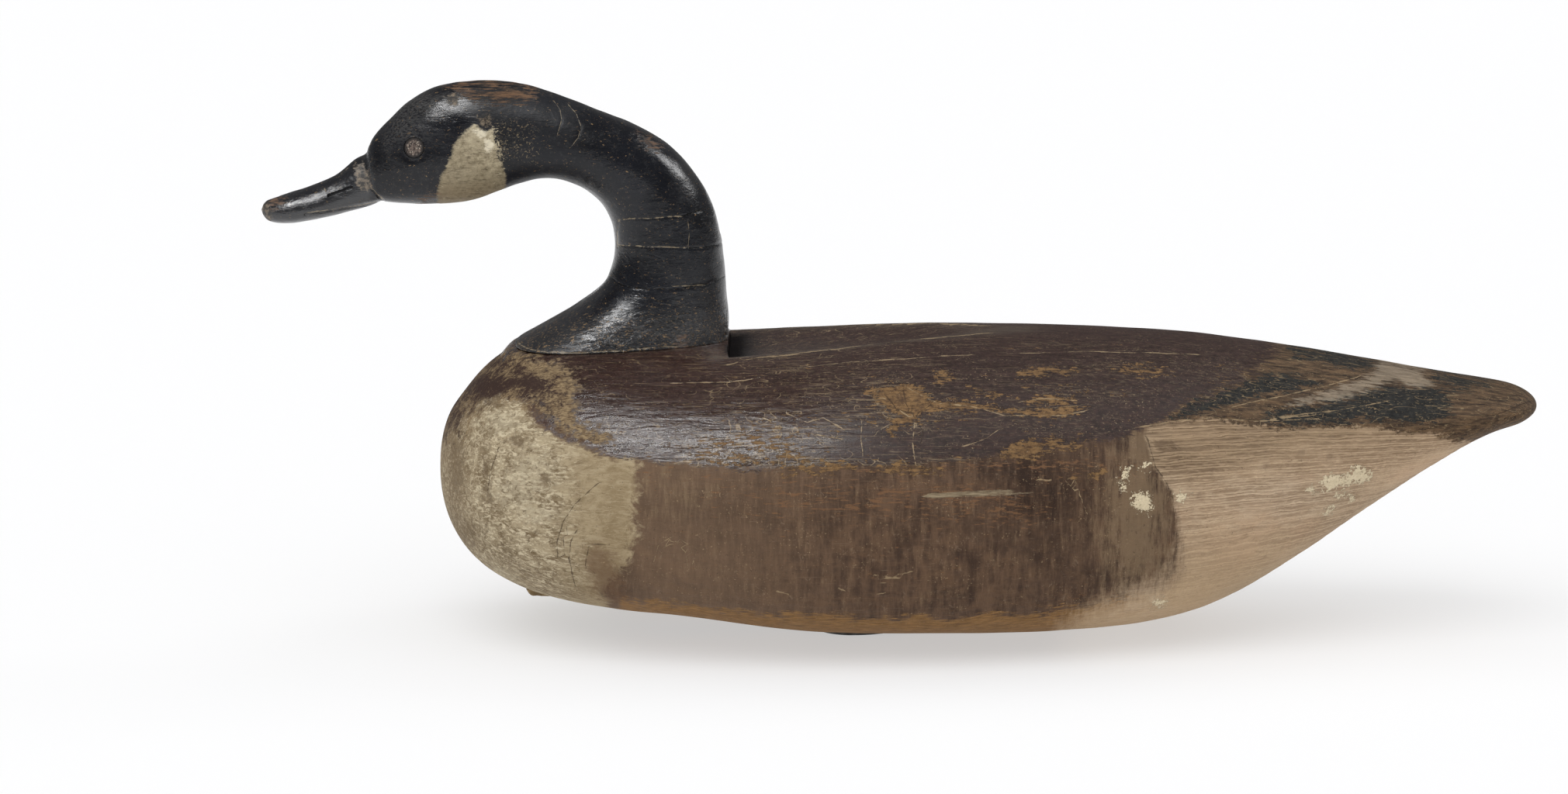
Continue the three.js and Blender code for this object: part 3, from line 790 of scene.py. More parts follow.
def facing(piece):
    """Which points the side view shows, judged by the way the skin faces there."""
    points = corners(piece)
    normals = np.array([vertex.normal for vertex in piece.data.vertices])
    far = np.where(points[:, 1] > 0, -1, 1)
    view = np.array(EYE_POINT) - points * np.stack([far**2, far, far**2], axis=1)
    view /= np.linalg.norm(view, axis=1, keepdims=True)
    normals[:, 1] *= far
    return (np.sum(normals * view, axis=1) > GRAZING) & ~in_hollow(points)


def set_fields(piece, fields):
    """Stores a number for each point under each name."""
    for name, values in fields.items():
        made = piece.data.attributes.new(name, "FLOAT", "POINT")
        made.data.foreach_set("value", values.astype(np.float32))


def set_marks(piece, areas, spots, strokes):
    """Stores how far each point is inside the paint areas and small spots, and its strokes."""
    points = corners(piece)
    places = seen(points)
    uneven = wobbled(places, points)
    a_little_uneven = 0.7 * places + 0.3 * uneven
    shown = facing(piece)
    fields = {"across": places[:, 0], "down": places[:, 1]}
    for name, outlines in areas.items():
        fields[name] = np.clip(area(uneven, outlines), -AREA_REACH, AREA_REACH)
    for name, outlines in spots.items():
        inside = np.clip(area(a_little_uneven, outlines), -AREA_REACH, AREA_REACH)
        fields[name] = np.where(shown, inside, -AREA_REACH)
    for name, marks in strokes.items():
        side, near = lines(a_little_uneven, marks)
        fields[name] = np.clip(side, -LINE_REACH, LINE_REACH)
        fields[name + "_near"] = np.where(shown, near, 0)
    set_fields(piece, fields)


def finish_piece(piece, look, nodes, sharp=50):
    """Gives a piece its material and puts it in place of its solids."""
    piece.data.materials.clear()
    piece.data.materials.append(look)
    piece.data.shade_smooth()
    piece.data.set_sharp_from_angle(angle=math.radians(sharp))
    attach(piece, "root")
    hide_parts(*nodes)


def linear(*channels):
    """A colour from its red, green and blue as shown, 0 to 255."""
    shares = np.array(channels) / 255
    curve = np.where(shares <= 0.04045, shares / 12.92, ((shares + 0.055) / 1.055) ** 2.4)
    return (*curve.tolist(), 1)


class Value:
    """A number or colour that a material works out at each place, with plain arithmetic."""

    def __init__(self, look, socket):
        self.look = look
        self.socket = socket

    def __add__(self, other):
        return self.look.maths("ADD", self, other)

    def __mul__(self, other):
        return self.look.maths("MULTIPLY", self, other)

    def __sub__(self, other):
        return self.look.maths("SUBTRACT", self, other)

    def __rsub__(self, other):
        return self.look.maths("SUBTRACT", other, self)

    def without(self, taken):
        """This share, less where another is taken away from it."""
        return self * self.look.maths("SUBTRACT", 1.0, taken, clamp=True)

    def step(self, low, high):
        """From 0 to 1 as this value runs from low to high, without corners."""
        inputs = {"Value": self, "From Min": low, "From Max": high}
        return self.look.add("MapRange", {"interpolation_type": "SMOOTHSTEP"}, inputs)

    def coat(self, share, colour):
        """This colour with a share of another laid over it."""
        return self.look.mix(share, self, colour)


class Look:
    """One material, with short ways to add its nodes. Colours are shown ones, 0 to 255."""

    def __init__(self, name):
        self.material = bpy.data.materials.new(name)
        self.material.use_nodes = True
        self.tree = self.material.node_tree
        self.shader = self.tree.nodes["Principled BSDF"]
        self.place = self.add("TexCoord", {}, {}, "Object")
        self.made = {}

    def join(self, socket, value):
        if isinstance(value, Value):
            self.tree.links.new(value.socket, socket)
        else:
            socket.default_value = value

    def add(self, kind, settings, inputs, output=0):
        """Adds a node and gives what comes out of it."""
        node = self.tree.nodes.new("ShaderNode" + kind)
        for name, value in settings.items():
            setattr(node, name, value)
        for socket, value in inputs.items():
            self.join(node.inputs[socket], value)
        return Value(self, node.outputs[output])

    def maths(self, operation, a, b=0.0, clamp=False):
        return self.add("Math", {"operation": operation, "use_clamp": clamp}, {0: a, 1: b})

    def most(self, first, *others):
        """The largest of several values."""
        for other in others:
            first = self.maths("MAXIMUM", first, other)
        return first

    def mix(self, share, below, above):
        """A colour with a share of another over it."""
        settings = {"data_type": "RGBA", "clamp_factor": True}
        below, above = [linear(*colour) if isinstance(colour, tuple) else colour
                        for colour in (below, above)]
        return self.add("Mix", settings, {0: share, 6: below, 7: above}, 2)

    def field(self, name):
        """What the points of the mesh store under a name."""
        return self.add("Attribute", {"attribute_name": name}, {}, "Fac")

    def noise(self, size, detail=3, rough=0.55, twist=0.0, shift=0.0):
        """Noise from 0 to 1 whose lumps have a size in millimetres in each direction."""
        asked = (size, detail, rough, twist, shift)
        if asked not in self.made:
            inputs = {0: self.place, 1: [1000 / length for length in size], 2: (shift,) * 3}
            at = self.add("VectorMath", {"operation": "MULTIPLY_ADD"}, inputs)
            inputs = {"Vector": at, "Scale": 1.0, "Detail": detail, "Roughness": rough,
                      "Distortion": twist}
            inputs = {"Value": self.add("TexNoise", {}, inputs), "From Min": 0.3, "From Max": 0.7}
            self.made[asked] = self.add("MapRange", {}, inputs)
        return self.made[asked]

    def noises(self, *kinds):
        return [self.noise(*kind) for kind in kinds]

    def ragged(self, *parts):
        """A sum of noises about zero, from pairs of a noise and its reach in picture units."""
        shifts = [(part - 0.5) * (2 * reach) for part, reach in parts]
        return sum(shifts[1:], shifts[0])

    def within(self, name, soft, *parts):
        """The share of an area's paint at a place, with an edge that noises make ragged."""
        return (self.field(name) + self.ragged(*parts)).step(-soft, soft)

    def line(self, name, gate):
        """The share of a group of thin lines, wide where the gate is high and broken where low."""
        away = self.maths("ABSOLUTE", self.field(name))
        return (away - gate * 2.4).step(-0.3, -1.1) * self.field(name + "_near").step(0.3, 0.7)

    def hairlines(self, size, width, shift):
        """Thin wandering lines, where a soft noise crosses its middle value."""
        course = self.noise(size, 1, 0.5, shift=shift)
        return self.maths("ABSOLUTE", course - 0.5).step(width, 0)

    def finish(self, colour, rough, height, specular=0.5):
        """Joins the colour, the roughness and a relief in millimetres to the shader."""
        bump = self.add("Bump", {}, {"Strength": 1.0, "Distance": 0.001, "Height": height})
        joined = {"Base Color": colour, "Roughness": rough, "Normal": bump,
                  "Specular IOR Level": specular}
        for name, value in joined.items():
            self.join(self.shader.inputs[name], value)
        return self.material


# Noises in use all over: the sizes of their lumps in millimetres along, across and up, then their
# detail, roughness and twist
FINE = ((3, 0.8, 0.8), 4, 0.65)
DASHES = ((8, 1.4, 1.4), 5, 0.68)
HAIRS = ((26, 0.8, 0.6), 4, 0.7)
STREAKS = ((30, 2.6, 1.9), 5, 0.7)
BRUSHED = ((2.6, 45, 15), 6, 0.72)
MOTTLE = ((3.2, 3.2, 2.6), 5, 0.72)
SMUDGES = ((15, 12, 10), 5, 0.72, 0.8)
PATCHES = ((16, 9, 7), 4, 0.6)
BLOTCH = ((60, 30, 30), 3)
GRIT = ((1.2, 1.2, 1.2), 2)
SPECKLE = ((1.3, 1.3, 1.1), 4, 0.7)
CLOUD = ((34, 26, 26), 3)
KNIFE = ((6, 5, 2.2), 4, 0.62, 1.2)


def bare_wood(look):
    """The body's bare wood: its colour, and the share of dark late wood at a place."""
    streaks, patches, smudges, blotch = look.noises(STREAKS, PATCHES, SMUDGES, BLOTCH)
    across, down = look.field("across"), look.field("down")
    rings = look.field("ring") + (look.noise((40, 6, 6)) - 0.5) * 0.28
    broken = look.noise((40, 2.0, 1.2), 3, 0.6).step(-0.3, 0.6)
    grain = []
    for pace, strength in ((1.0, 0.8), (2.7, 0.9), (5.3, 0.6)):
        ring = look.maths("FRACT", rings * pace)
        grain.append(ring.step(0.3, 0.8) * ring.step(1.0, 0.86) * strength * broken)
    late = look.most(*grain)
    lower = down.step(640, 760)
    faded = look.noise((90, 30, 14), 3, shift=2.2).step(-0.3, 0.7)
    wood = look.mix(look.noise((30, 0.8, 0.6), 4, 0.7), (174, 148, 119), (208, 183, 153))
    wood = wood.coat(blotch.step(0.4, 0.9) * 0.5, (196, 165, 135))
    # Painted shade: the wood darker towards the bottom of the rump
    wood = wood.coat(lower * 0.5, (172, 147, 112))
    pale = (look.field("pale") + look.ragged((patches, 0.2))).step(0.1, 0.8)
    wood = wood.coat(pale * 0.7, (204, 184, 158))
    upper = (down + look.ragged((streaks, 16)) + across * 0.2).step(960, 890)
    wood = wood.coat(upper * 0.75, (156, 133, 104))
    # Painted reflection of the floor: a greyer tone towards the lower back edge of the rump
    under = (across * 0.6 + down).step(1690, 1760)
    wood = wood.coat(under * 0.6, (168, 156, 138))
    # Grime, and a painted shadow from the dark spot in the rump's upper front corner
    grime_and_shadow = (smudges + look.field("dark")).step(0.9, 1.3)
    wood = wood.coat(grime_and_shadow * 0.6, (96, 78, 60))
    dark_grain = late * faded * (0.95 - lower * 0.6)
    wood = wood.coat(dark_grain, look.mix(upper, (124, 101, 78), (82, 63, 46)))
    stains = look.noise((30, 8, 3), 5, 0.7, 0.3, 8.8).step(0.6, 1.0)
    wood = wood.coat(stains * 0.45, (128, 104, 78))
    return wood.coat(look.field("knot") * 0.5, (84, 64, 52)), late


def side_paint(look):
    """The brown paint of the sides, brushed up and down, rubbed through in flecks."""
    brushed, patches, dashes, hairs = look.noises(BRUSHED, PATCHES, DASHES, HAIRS)
    brushwork = (brushed * 0.5 + look.noise((7, 60, 26), 4, 0.7) * 0.5).step(0.1, 0.9)
    paint = look.mix(brushwork, (62, 46, 36), (102, 79, 61))
    smudges = look.noise((18, 12, 14), 5, 0.72, 0.8, 3.7)
    paint = paint.coat(smudges.step(0.4, 0.9) * 0.5, (104, 80, 60))
    paint = paint.coat(smudges.step(0.5, 0.1) * 0.4, (52, 38, 29))
    paint = paint.coat(look.field("across").step(1150, 850) * 0.55, (118, 96, 76))
    pale = look.field("pale") + look.ragged((brushed, 0.5), (patches, 0.2))
    paint = paint.coat(pale.step(0.1, 0.9) * 0.65, (126, 106, 82))
    paint = paint.coat(look.field("dark") * brushed.step(1.4, 0.2), (42, 28, 21))
    flecks = (dashes + look.field("wear") * 0.36).step(0.86, 1.06)
    paint = paint.coat(flecks * 0.65, (122, 88, 60))
    paint = paint.coat(hairs.step(0.78, 1.0) * 0.35, (134, 114, 94))
    scuffs = look.noise((5, 12, 6), 5, 0.75, 0.5, 1.3).step(0.74, 0.95)
    return paint.coat(scuffs * 0.4, (132, 112, 92))


def breast_paint(look):
    """The cream paint of the breast, mottled, stained and rubbed down to brown at the front."""
    smudges, mottle, hairs = look.noises(SMUDGES, MOTTLE, HAIRS)
    across = look.field("across")
    right = (across + look.ragged((smudges, 24))).step(700, 780)
    left = 1 - right * 0.6
    paint = look.mix(smudges.step(0.1, 0.9), (110, 93, 68), (170, 155, 127))
    brushwork = look.noise((11, 3.4, 2.2), 5, 0.7, 1.2, 2.6).step(0.42, 0.8)
    paint = paint.coat(brushwork * left * 0.85, (208, 194, 165))
    swirls = look.noise((9, 3, 2.4), 4, 0.65, 2.2, 7.1).step(0.66, 0.9)
    paint = paint.coat(swirls * left * 0.6, (108, 90, 64))
    pale = (look.field("pale") + look.ragged((mottle, 0.5))).step(0.25, 0.9)
    paint = paint.coat(pale * 0.55, (184, 172, 146))
    stain = (look.field("dark") + look.ragged((smudges, 0.4), (mottle, 0.4))).step(0.25, 0.85)
    paint = paint.coat(stain * 0.75, (88, 70, 49))
    dirt = look.noise((6, 4, 3.4), 5, 0.75, 0.8, 5.5).step(0.62, 0.9)
    paint = paint.coat(dirt * left * 0.75, (92, 74, 52))
    front = (across + look.ragged((smudges, 20), (mottle, 12))).step(630, 590)
    paint = paint.coat(front * 0.35, (132, 113, 86))
    paint = paint.coat(right * 0.55, (152, 133, 101))
    return paint.coat(hairs.step(0.62, 0.95) * 0.25, (196, 184, 156))


def back_paint(look, ochre):
    """The dark red-brown paint of the back, scratched and worn; and the share worn off."""
    mottle, dashes, streaks = look.noises(MOTTLE, DASHES, STREAKS)
    hairs, patches, blotch = look.noises(HAIRS, PATCHES, BLOTCH)
    wear = look.field("wear")
    paint = look.mix((mottle * 0.6 + streaks * 0.4).step(0.15, 0.9), (35, 22, 18), (65, 45, 39))
    paint = paint.coat(blotch * 0.4, (50, 31, 27))
    paint = paint.coat(look.field("rim") * streaks.step(0.1, 0.7) * 0.6, (92, 82, 70))
    grey = (look.noise((9, 3, 2), 5, 0.75, 0.4, 6.6) + wear * 0.4).step(0.75, 1.1)
    paint = paint.coat(grey * 0.45, (106, 90, 70))
    worn = (dashes * 0.6 + mottle * 0.4 + wear * 0.34).step(0.86, 0.94)
    paint = paint.coat(worn * 0.8, ochre)
    ahead = look.field("across").step(1300, 1150) * 0.7 + 0.3
    curls = look.hairlines((15, 10, 8), 0.026, 3.0) * ahead * (patches + wear * 0.4).step(0.5, 0.8)
    lengthwise = (hairs + wear * 0.1).step(0.72, 0.92)
    specks = (look.noise((2.6, 1.6, 1.4), 4, 0.7, 0.0, 7.7) + wear * 0.12).step(0.84, 0.96)
    thin = look.most(curls * 0.8, lengthwise * 0.6, specks * 0.6)
    thin = thin * (wear * 0.5 + 0.6) * (ahead * 0.6 + 0.4)
    return paint.coat(thin, (156, 134, 102)), worn


def rubbed_paint(look, colour):
    """The front of the back, rubbed down in places to a tan ground that runs into the cream."""
    mottle, smudges, patches, speckle, fine = look.noises(MOTTLE, SMUDGES, PATCHES, SPECKLE, FINE)
    rubbed = look.within("rubbed", 8, (mottle, 12), (patches, 14))
    bare = mottle * 0.45 + smudges * 0.45 + speckle * 0.2 - look.field("dark") * 0.38
    tan = look.mix(fine.step(0.1, 0.9), (94, 75, 55), (156, 135, 102))
    mottled = look.mix(bare.step(0.28, 0.62), (58, 42, 36), tan)
    return colour.coat(rubbed * 0.9, mottled), rubbed


def tail_paint(look, ochre):
    """The tail's brown wood with what is left of its black bands."""
    dashes, streaks, smudges, mottle = look.noises(DASHES, STREAKS, SMUDGES, MOTTLE)
    wood = look.mix(streaks.step(0.1, 0.9), (42, 31, 23), (106, 84, 62))
    wood = wood.coat(smudges.step(0.4, 0.9) * 0.5, (70, 54, 40))
    wood = wood.coat(dashes.step(0.78, 0.9) * 0.5, ochre)
    torn = look.noise((70, 3.4, 2.6), 4, 0.65, 0.0, 2.9)
    banded = look.within("tail_black", 1.2, (dashes, 4), (torn, 10), (streaks, 5), (mottle, 4))
    wood = wood.coat(banded, look.mix(mottle, (14, 15, 17), (50, 49, 46)))
    grain = look.hairlines((150, 5, 4), 0.03, 4.4) * dashes.step(0.2, 0.6)
    flecks = look.noise((2.6, 1.2, 1.0), 4, 0.7, 0.0, 7.7).step(0.68, 0.9)
    wood = wood.coat(look.most(grain * 0.8, flecks * 0.4), (136, 117, 88))
    pale = look.within("tail_pale", 4, (dashes, 6), (streaks, 6)) * 0.7
    return wood.coat(pale, look.mix(streaks, (110, 96, 80), (160, 147, 128)))


def body_look():
    look = Look("body_paint")
    fine, dashes, mottle, patches, hairs = look.noises(FINE, DASHES, MOTTLE, PATCHES, HAIRS)
    brushed, smudges, speckle, streaks = look.noises(BRUSHED, SMUDGES, SPECKLE, STREAKS)
    notch_shade = look.field("notch_shade")
    ochre = look.mix((mottle * 0.5 + dashes * 0.5).step(0.2, 0.8), (74, 54, 38), (132, 102, 66))
    wood, late = bare_wood(look)
    back, worn = back_paint(look, ochre)

    low = look.field("down").step(650, 750)
    fade = low * 20 + 4
    strokes = look.ragged((brushed, 3), (mottle, 2)) * (low * 2 + 1)
    on_rump = (look.field("rump") + strokes).step(fade * -1, fade)
    on_breast = look.within("breast", 7, (mottle, 3), (smudges, 12))
    on_back = look.within("back", 3, (mottle, 4), (dashes, 5), (patches, 3))
    on_tail = look.within("tail", 3, (dashes, 16), (hairs, 10), (patches, 8))
    on_bottom = look.within("bottom", 4, (dashes, 6), (patches, 8))
    bare = look.within("bare", 1.0, (fine, 3), (mottle, 5), (dashes, 7), (patches, 4))
    cream = look.within("cream", 0.6, (speckle, 5), (mottle, 8))
    rusty = look.within("rusty", 9, (mottle, 5), (smudges, 12))
    gouge = look.within("gouge", 0.8, (fine, 0.8))
    stripe = look.within("stripe", 2, (dashes, 6), (mottle, 3))

    colour = look.mix(on_breast, side_paint(look), breast_paint(look))
    colour = colour.coat(on_bottom * 0.9, look.mix(dashes, (92, 66, 38), (154, 116, 70)))
    colour = colour.coat(on_rump, wood)
    colour = colour.coat(rusty * 0.6, (98, 72, 52))
    colour = colour.coat(on_back, look.mix(on_tail, back, tail_paint(look, ochre)))
    colour, rubbed = rubbed_paint(look, colour)
    colour = colour.coat(stripe * 0.6, (72, 50, 41))
    colour = colour.coat(bare * 0.92, ochre)
    colour = colour.coat(gouge, look.mix(hairs, (74, 58, 44), (164, 148, 120)))
    colour = colour.coat(cream * 0.92, look.mix(speckle, (200, 184, 152), (226, 211, 180)))
    # Scratches that show the wood, and a painted highlight along the near crest of the back
    scratch_and_highlight = look.line("scratch_and_highlight", look.noise((7, 3, 3), 4, 0.6, 0.0, 3.3))
    colour = colour.coat(scratch_and_highlight * 0.75, (156, 135, 104))
    crack = look.line("crack", look.noise((6, 4, 4), 3, 0.6, 0.0, 5.1))
    colour = colour.coat(crack * 0.65, (62, 47, 35))
    light = look.noise(*GRIT).step(0.84, 1.0) * patches.step(0.35, 0.8)
    colour = colour.coat(light * 0.6, (160, 137, 106))
    dust = look.noise((1.4, 1.4, 1.4), 3, 0.6, 0.0, 9).step(0.85, 1.05)
    colour = colour.coat(dust * 0.5, (40, 30, 26))
    # Painted shade: the corner behind the neck darkened nearly to black
    colour = colour.coat(notch_shade * 0.95, (31, 30, 31))

    lost = look.most(bare, worn * on_back)
    height = (
        fine * 0.03 + mottle * 0.08 + streaks * 0.06 + hairs * 0.03 + brushed * 0.04
        + look.noise((24, 6, 5), 3, 0.5, 1.0) * 0.25 + cream * 0.25 - late * on_rump * 0.08
        - scratch_and_highlight * 0.15 - crack * 0.30 - lost * 0.18
    )
    forward = look.field("across").step(1200, 980)
    gloss = on_back.without(look.most(lost, on_tail, rubbed)) * (forward * 0.7 + 0.3)
    rough = 0.60 - gloss * 0.52 + (streaks * 0.6 + patches * 0.4) * 0.34
    shine = gloss * 0.44 + 0.2 - notch_shade * 0.64
    return look.finish(colour, rough, height, shine)


def cheek_paint(look):
    """The cheek patch's cream paint, brown towards the throat and crossed by fine cracks."""
    mottle = look.noise(*MOTTLE)
    down = look.field("down")
    paint = look.mix(mottle, (106, 94, 71), (172, 159, 131))
    bright = (look.field("across") * 0.5 - down + look.ragged((mottle, 16))).step(98, 146)
    paint = paint.coat(bright * 0.6, (196, 184, 156))
    pale = (look.field("pale") + look.ragged((mottle, 0.4))).step(0.3, 0.8)
    paint = paint.coat(pale * 0.8, (222, 212, 188))
    low = (down + look.ragged((mottle, 10))).step(222, 250)
    paint = paint.coat(low * 0.5, (118, 100, 72))
    crackle = look.noise((6, 4, 0.8), 4, 0.7).step(0.6, 0.9)
    paint = paint.coat(crackle * 0.65, (70, 59, 43))
    flakes = look.noise((4, 4, 1.6), 4, 0.7, 0.0, 4).step(0.80, 0.98)
    return paint.coat(flakes * 0.7, (182, 172, 146))


def head_look():
    look = Look("black_paint")
    mottle, speckle, knife, fine = look.noises(MOTTLE, SPECKLE, KNIFE, FINE)
    streaks = look.noise((12, 4, 1.2), 5, 0.7)
    across = look.field("across")
    foot = look.field("height").step(0.045, 0.0)
    bill = across.step(486, 472)
    black = look.mix(look.noise(*CLOUD), (8, 9, 14), (19, 21, 28))
    black = black.coat(mottle.step(0.5, 1.0) * 0.4, (56, 56, 56))
    # Dust and painted sheen: the black greyed in soft spots on the forehead and the neck
    black = black.coat(look.field("dust_and_sheen") * fine.step(0.1, 0.9), (82, 81, 80))

    rubbed = look.field("speckled").step(-12, 14)
    eaten = rubbed * (speckle - 0.62) * 30
    cheek = look.field("cheek") + look.ragged((fine, 1.2), (mottle, 1.5)) - eaten
    on_cheek = cheek.step(-2, 2)
    worn = look.within("worn", 7, (streaks, 12), (mottle, 4))
    grey = look.within("grey", 2, (fine, 3), (mottle, 3))
    flecks = (speckle + rubbed * 0.22).step(0.88, 1.02) * rubbed

    colour = look.mix(on_cheek, black, cheek_paint(look))
    rust = look.mix(streaks.step(0.3, 0.8), (24, 19, 17), (118, 86, 58))
    colour = colour.coat(worn * 0.75, rust)
    dirty = look.mix(mottle.step(0.3, 0.8), (34, 30, 26), (126, 112, 94))
    colour = colour.coat(grey * 0.85, dirty)
    colour = colour.coat(flecks * 0.8, (122, 108, 84))
    # Scratches, and painted highlights along the edges of the bill
    scratch_and_highlight = look.line("scratch_and_highlight", look.noise((4, 3, 3), 4, 0.65, 0.0, 3.3))
    colour = colour.coat(scratch_and_highlight * 0.7, (144, 130, 106))
    crack = look.line("crack", look.noise((5, 4, 4), 3, 0.6, 0.0, 5.1))
    colour = colour.coat(crack * 0.9, (8, 8, 8))
    specks = (look.noise((2.2, 1.4, 1.0), 4, 0.7, 0.6, 6) + foot * 0.17).step(0.81, 0.92)
    specks = (specks * mottle.step(0.2, 0.7)).without(on_cheek)
    colour = colour.coat(specks * 0.85, (148, 120, 84))

    height = (
        knife * (foot * 0.12 + bill * 0.05 + 0.06) + mottle * 0.05
        + look.noise((14, 8, 6), 3, 0.5, 1.0) * (foot * 0.22 + 0.11)
        + speckle * (bill * 0.03 + 0.02) - scratch_and_highlight * 0.12 - crack * 0.35 - worn * 0.12
        + on_cheek * 0.10
    )
    rubs = look.noise(*STREAKS) * 0.5 + look.noise(*PATCHES) * 0.5
    nape = across.step(592, 622) * across.step(770, 724)
    rough = look.most(worn, grey, on_cheek) * 0.36 + rubs * 0.20 + nape * 0.22 + 0.13
    shine = bill * 0.6 + foot * 0.6 + 0.4
    return look.finish(colour, rough, height, shine)


def eye_look():
    look = Look("worn_eye")
    grain = look.noise((1.5, 1.5, 1.5), 4, 0.75)
    pits = look.noise((0.8, 0.8, 0.8), 2)
    colour = look.mix(grain.step(0.3, 0.75), (34, 22, 18), (112, 96, 86))
    colour = colour.coat(pits.step(0.62, 0.9), (168, 156, 142))
    colour = colour.coat(look.field("rim").step(0.66, 0.9), (24, 18, 16))
    return look.finish(colour, grain * 0.3 + 0.42, grain * 0.25 + pits * 0.08)


def lead_look():
    look = Look("lead")
    grain = look.noise((5, 5, 5), 5, 0.65)
    fine = look.noise((0.8, 0.8, 0.8), 3)
    oxide = look.noise((11, 11, 4), 4, shift=5).step(0.6, 0.9)
    colour = look.mix(grain, (44, 45, 47), (98, 98, 96)).coat(oxide, (122, 118, 108))
    look.shader.inputs["Metallic"].default_value = 0.6
    return look.finish(colour, fine * 0.25 + 0.5, grain * 0.4 + fine * 0.08)


def leather_look():
    look = Look("leather")
    grain = look.noise((1.5, 1.5, 1.5), 4, 0.65)
    pores = look.add("TexVoronoi", {"feature": "DISTANCE_TO_EDGE"},
                     {"Vector": look.place, "Scale": 900.0}, "Distance")
    colour = look.mix(look.noise((7, 7, 7), 3), (116, 96, 66), (168, 143, 102))
    colour = colour.coat(grain.step(0.7, 0.95), (60, 46, 34))
    return look.finish(colour, grain * 0.15 + 0.7, grain * 0.2 + pores * 0.3)


def carving(rings, kinds):
    return sum(depth * lumps(rings, size, place) for depth, size, place in kinds)


def body_relief(rings):
    """How far each point of the body stands out for carving, wear and damage."""
    places = seen(rings)
    late = np.mod(growth_rings(rings), 1)
    rump = ease(area(places, [RUMP]), -4, 8) * (1 - ease(area(places, [BACK]), -6, 4))
    relief = (
        carving(rings, BODY_CARVING)
        - FURROW_DEPTH * rump * ease(late, 0.4, 0.8) * (1 - ease(late, 0.9, 1))
        - GOUGE_DEPTH * ease(area(places, [GOUGE]), -1.5, 2.5)
        - DING_DEPTH * dimples(places, DINGS, SPOT_RADIUS)
        - CRACK_DEPTH * groove(places, BODY_CRACKS, 5)
        + FLAKE_THICKNESS * ease(area(places, CREAM), -2, 1)
        - WEAR_DEPTH * ease(area(places, BARE), -2, 2)
    )
    x = rings[..., 0] - BREAST_X
    high = rings[..., 2] > SEAT_LEVEL - 0.002
    seated = (x < WALL_X) & (footprint(x, rings[..., 1]) < SEAT_EDGE) & high
    top = rings[..., 2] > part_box("ballast_pad")[1].z
    return np.where(seated, 0, relief) * np.where(top, 1, UNDERSIDE_SHARE)


def build_body():
    places = even_places(body_points, 0, BODY_LENGTH, BODY_RINGS)
    away = np.abs(places - WALL_X - WALL_RUN / 2) > WALL_RUN
    places = np.sort([*places[away], WALL_X, WALL_X + WALL_RUN / 2, WALL_X + WALL_RUN])
    rings = even_rings(body_points, places, BODY_AROUND)
    relief = body_relief(rings)
    relief[[0, -1]] = 0
    rings = rings + outward(rings) * relief[..., None]
    poles = [body_points(np.array(x), np.array(0.0)) for x in (0, BODY_LENGTH)]
    body = mesh_object("decoy_body", rings, *poles)
    cut(body, [pad_pocket(), tie_block("tie_pocket", GAP)])
    set_marks(
        body,
        {"back": [BACK], "breast": [BREAST], "rump": [RUMP], "tail": [TAIL], "bottom": [BOTTOM],
         "tail_black": TAIL_BLACK, "tail_pale": TAIL_PALE, "rubbed": [RUBBED]},
        {"bare": BARE, "rusty": RUSTY, "cream": CREAM, "gouge": [GOUGE], "stripe": [EDGE_STRIPE]},
        {"scratch_and_highlight": BODY_SCRATCHES_AND_HIGHLIGHTS, "crack": BODY_CRACKS},
    )
    points = corners(body)
    places = seen(points)
    set_fields(body, {
        "wear": soft_spots(places, WORN_SPOTS),
        "dark": soft_spots(places, DARK_SPOTS),
        "pale": soft_spots(places, PALE_SPOTS),
        "ring": growth_rings(points),
        "knot": dimples(places, KNOTS, SPOT_RADIUS),
        "notch_shade": notch_shade_share(points),
        "rim": on_rim(points),
    })
    finish_piece(body, body_look(), ["body"])


def side_place(row, up, side):
    """A place on the head's side, with Z standing out of the wood and X towards the bill."""
    power = smooth(HEAD_SCALE, HEAD_ROWS[:, 5], np.array(row))
    turn = side * math.acos(bent(up, power / 2))
    nearby = 0.01
    at = Vector(head_points(np.array(row), np.array(turn)))
    ahead = (Vector(head_points(np.array(row + nearby), np.array(turn))) - at).normalized()
    across = Vector(head_points(np.array(row), np.array(turn + nearby))) - at
    out = ahead.cross(across).normalized()
    if out.y * side < 0:
        out.negate()
    sideways = out.cross(ahead)
    return Matrix.Translation(at) @ Matrix((ahead, sideways, out)).transposed().to_4x4()


EYE_SPOT = seen(np.array(side_place(EYE_ROW, EYE_UP, -1).translation)[None, :])[0]


def head_relief(rings):
    """How far each point of the head stands out for carving, wear and damage."""
    places = seen(rings)
    from_eye = np.hypot(*np.moveaxis(places - EYE_SPOT, -1, 0))
    return (
        carving(rings, HEAD_CARVING)
        - CRACK_DEPTH * groove(places, HEAD_CRACKS, 1.8)
        - SCRATCH_DEPTH * groove(places, HEAD_SCRATCHES_AND_HIGHLIGHTS, 2.2)
        - WEAR_DEPTH * ease(area(places, HEAD_WORN), -2, 2)
        - SOCKET_DEPTH * np.exp(-((from_eye - SOCKET_RADIUS) / SOCKET_WIDTH) ** 2)
    )


def turned(name, profile, around, place):
    """A closed round piece from its profile of radius and height, at a place."""
    angles = turns(around)
    rings = np.array([[(r * math.cos(a), r * math.sin(a), z) for a in angles]
                      for r, z in profile[1:-1]])
    piece = mesh_object(name, rings, (0, 0, profile[0][1]), (0, 0, profile[-1][1]))
    piece.data.transform(place)
    return piece


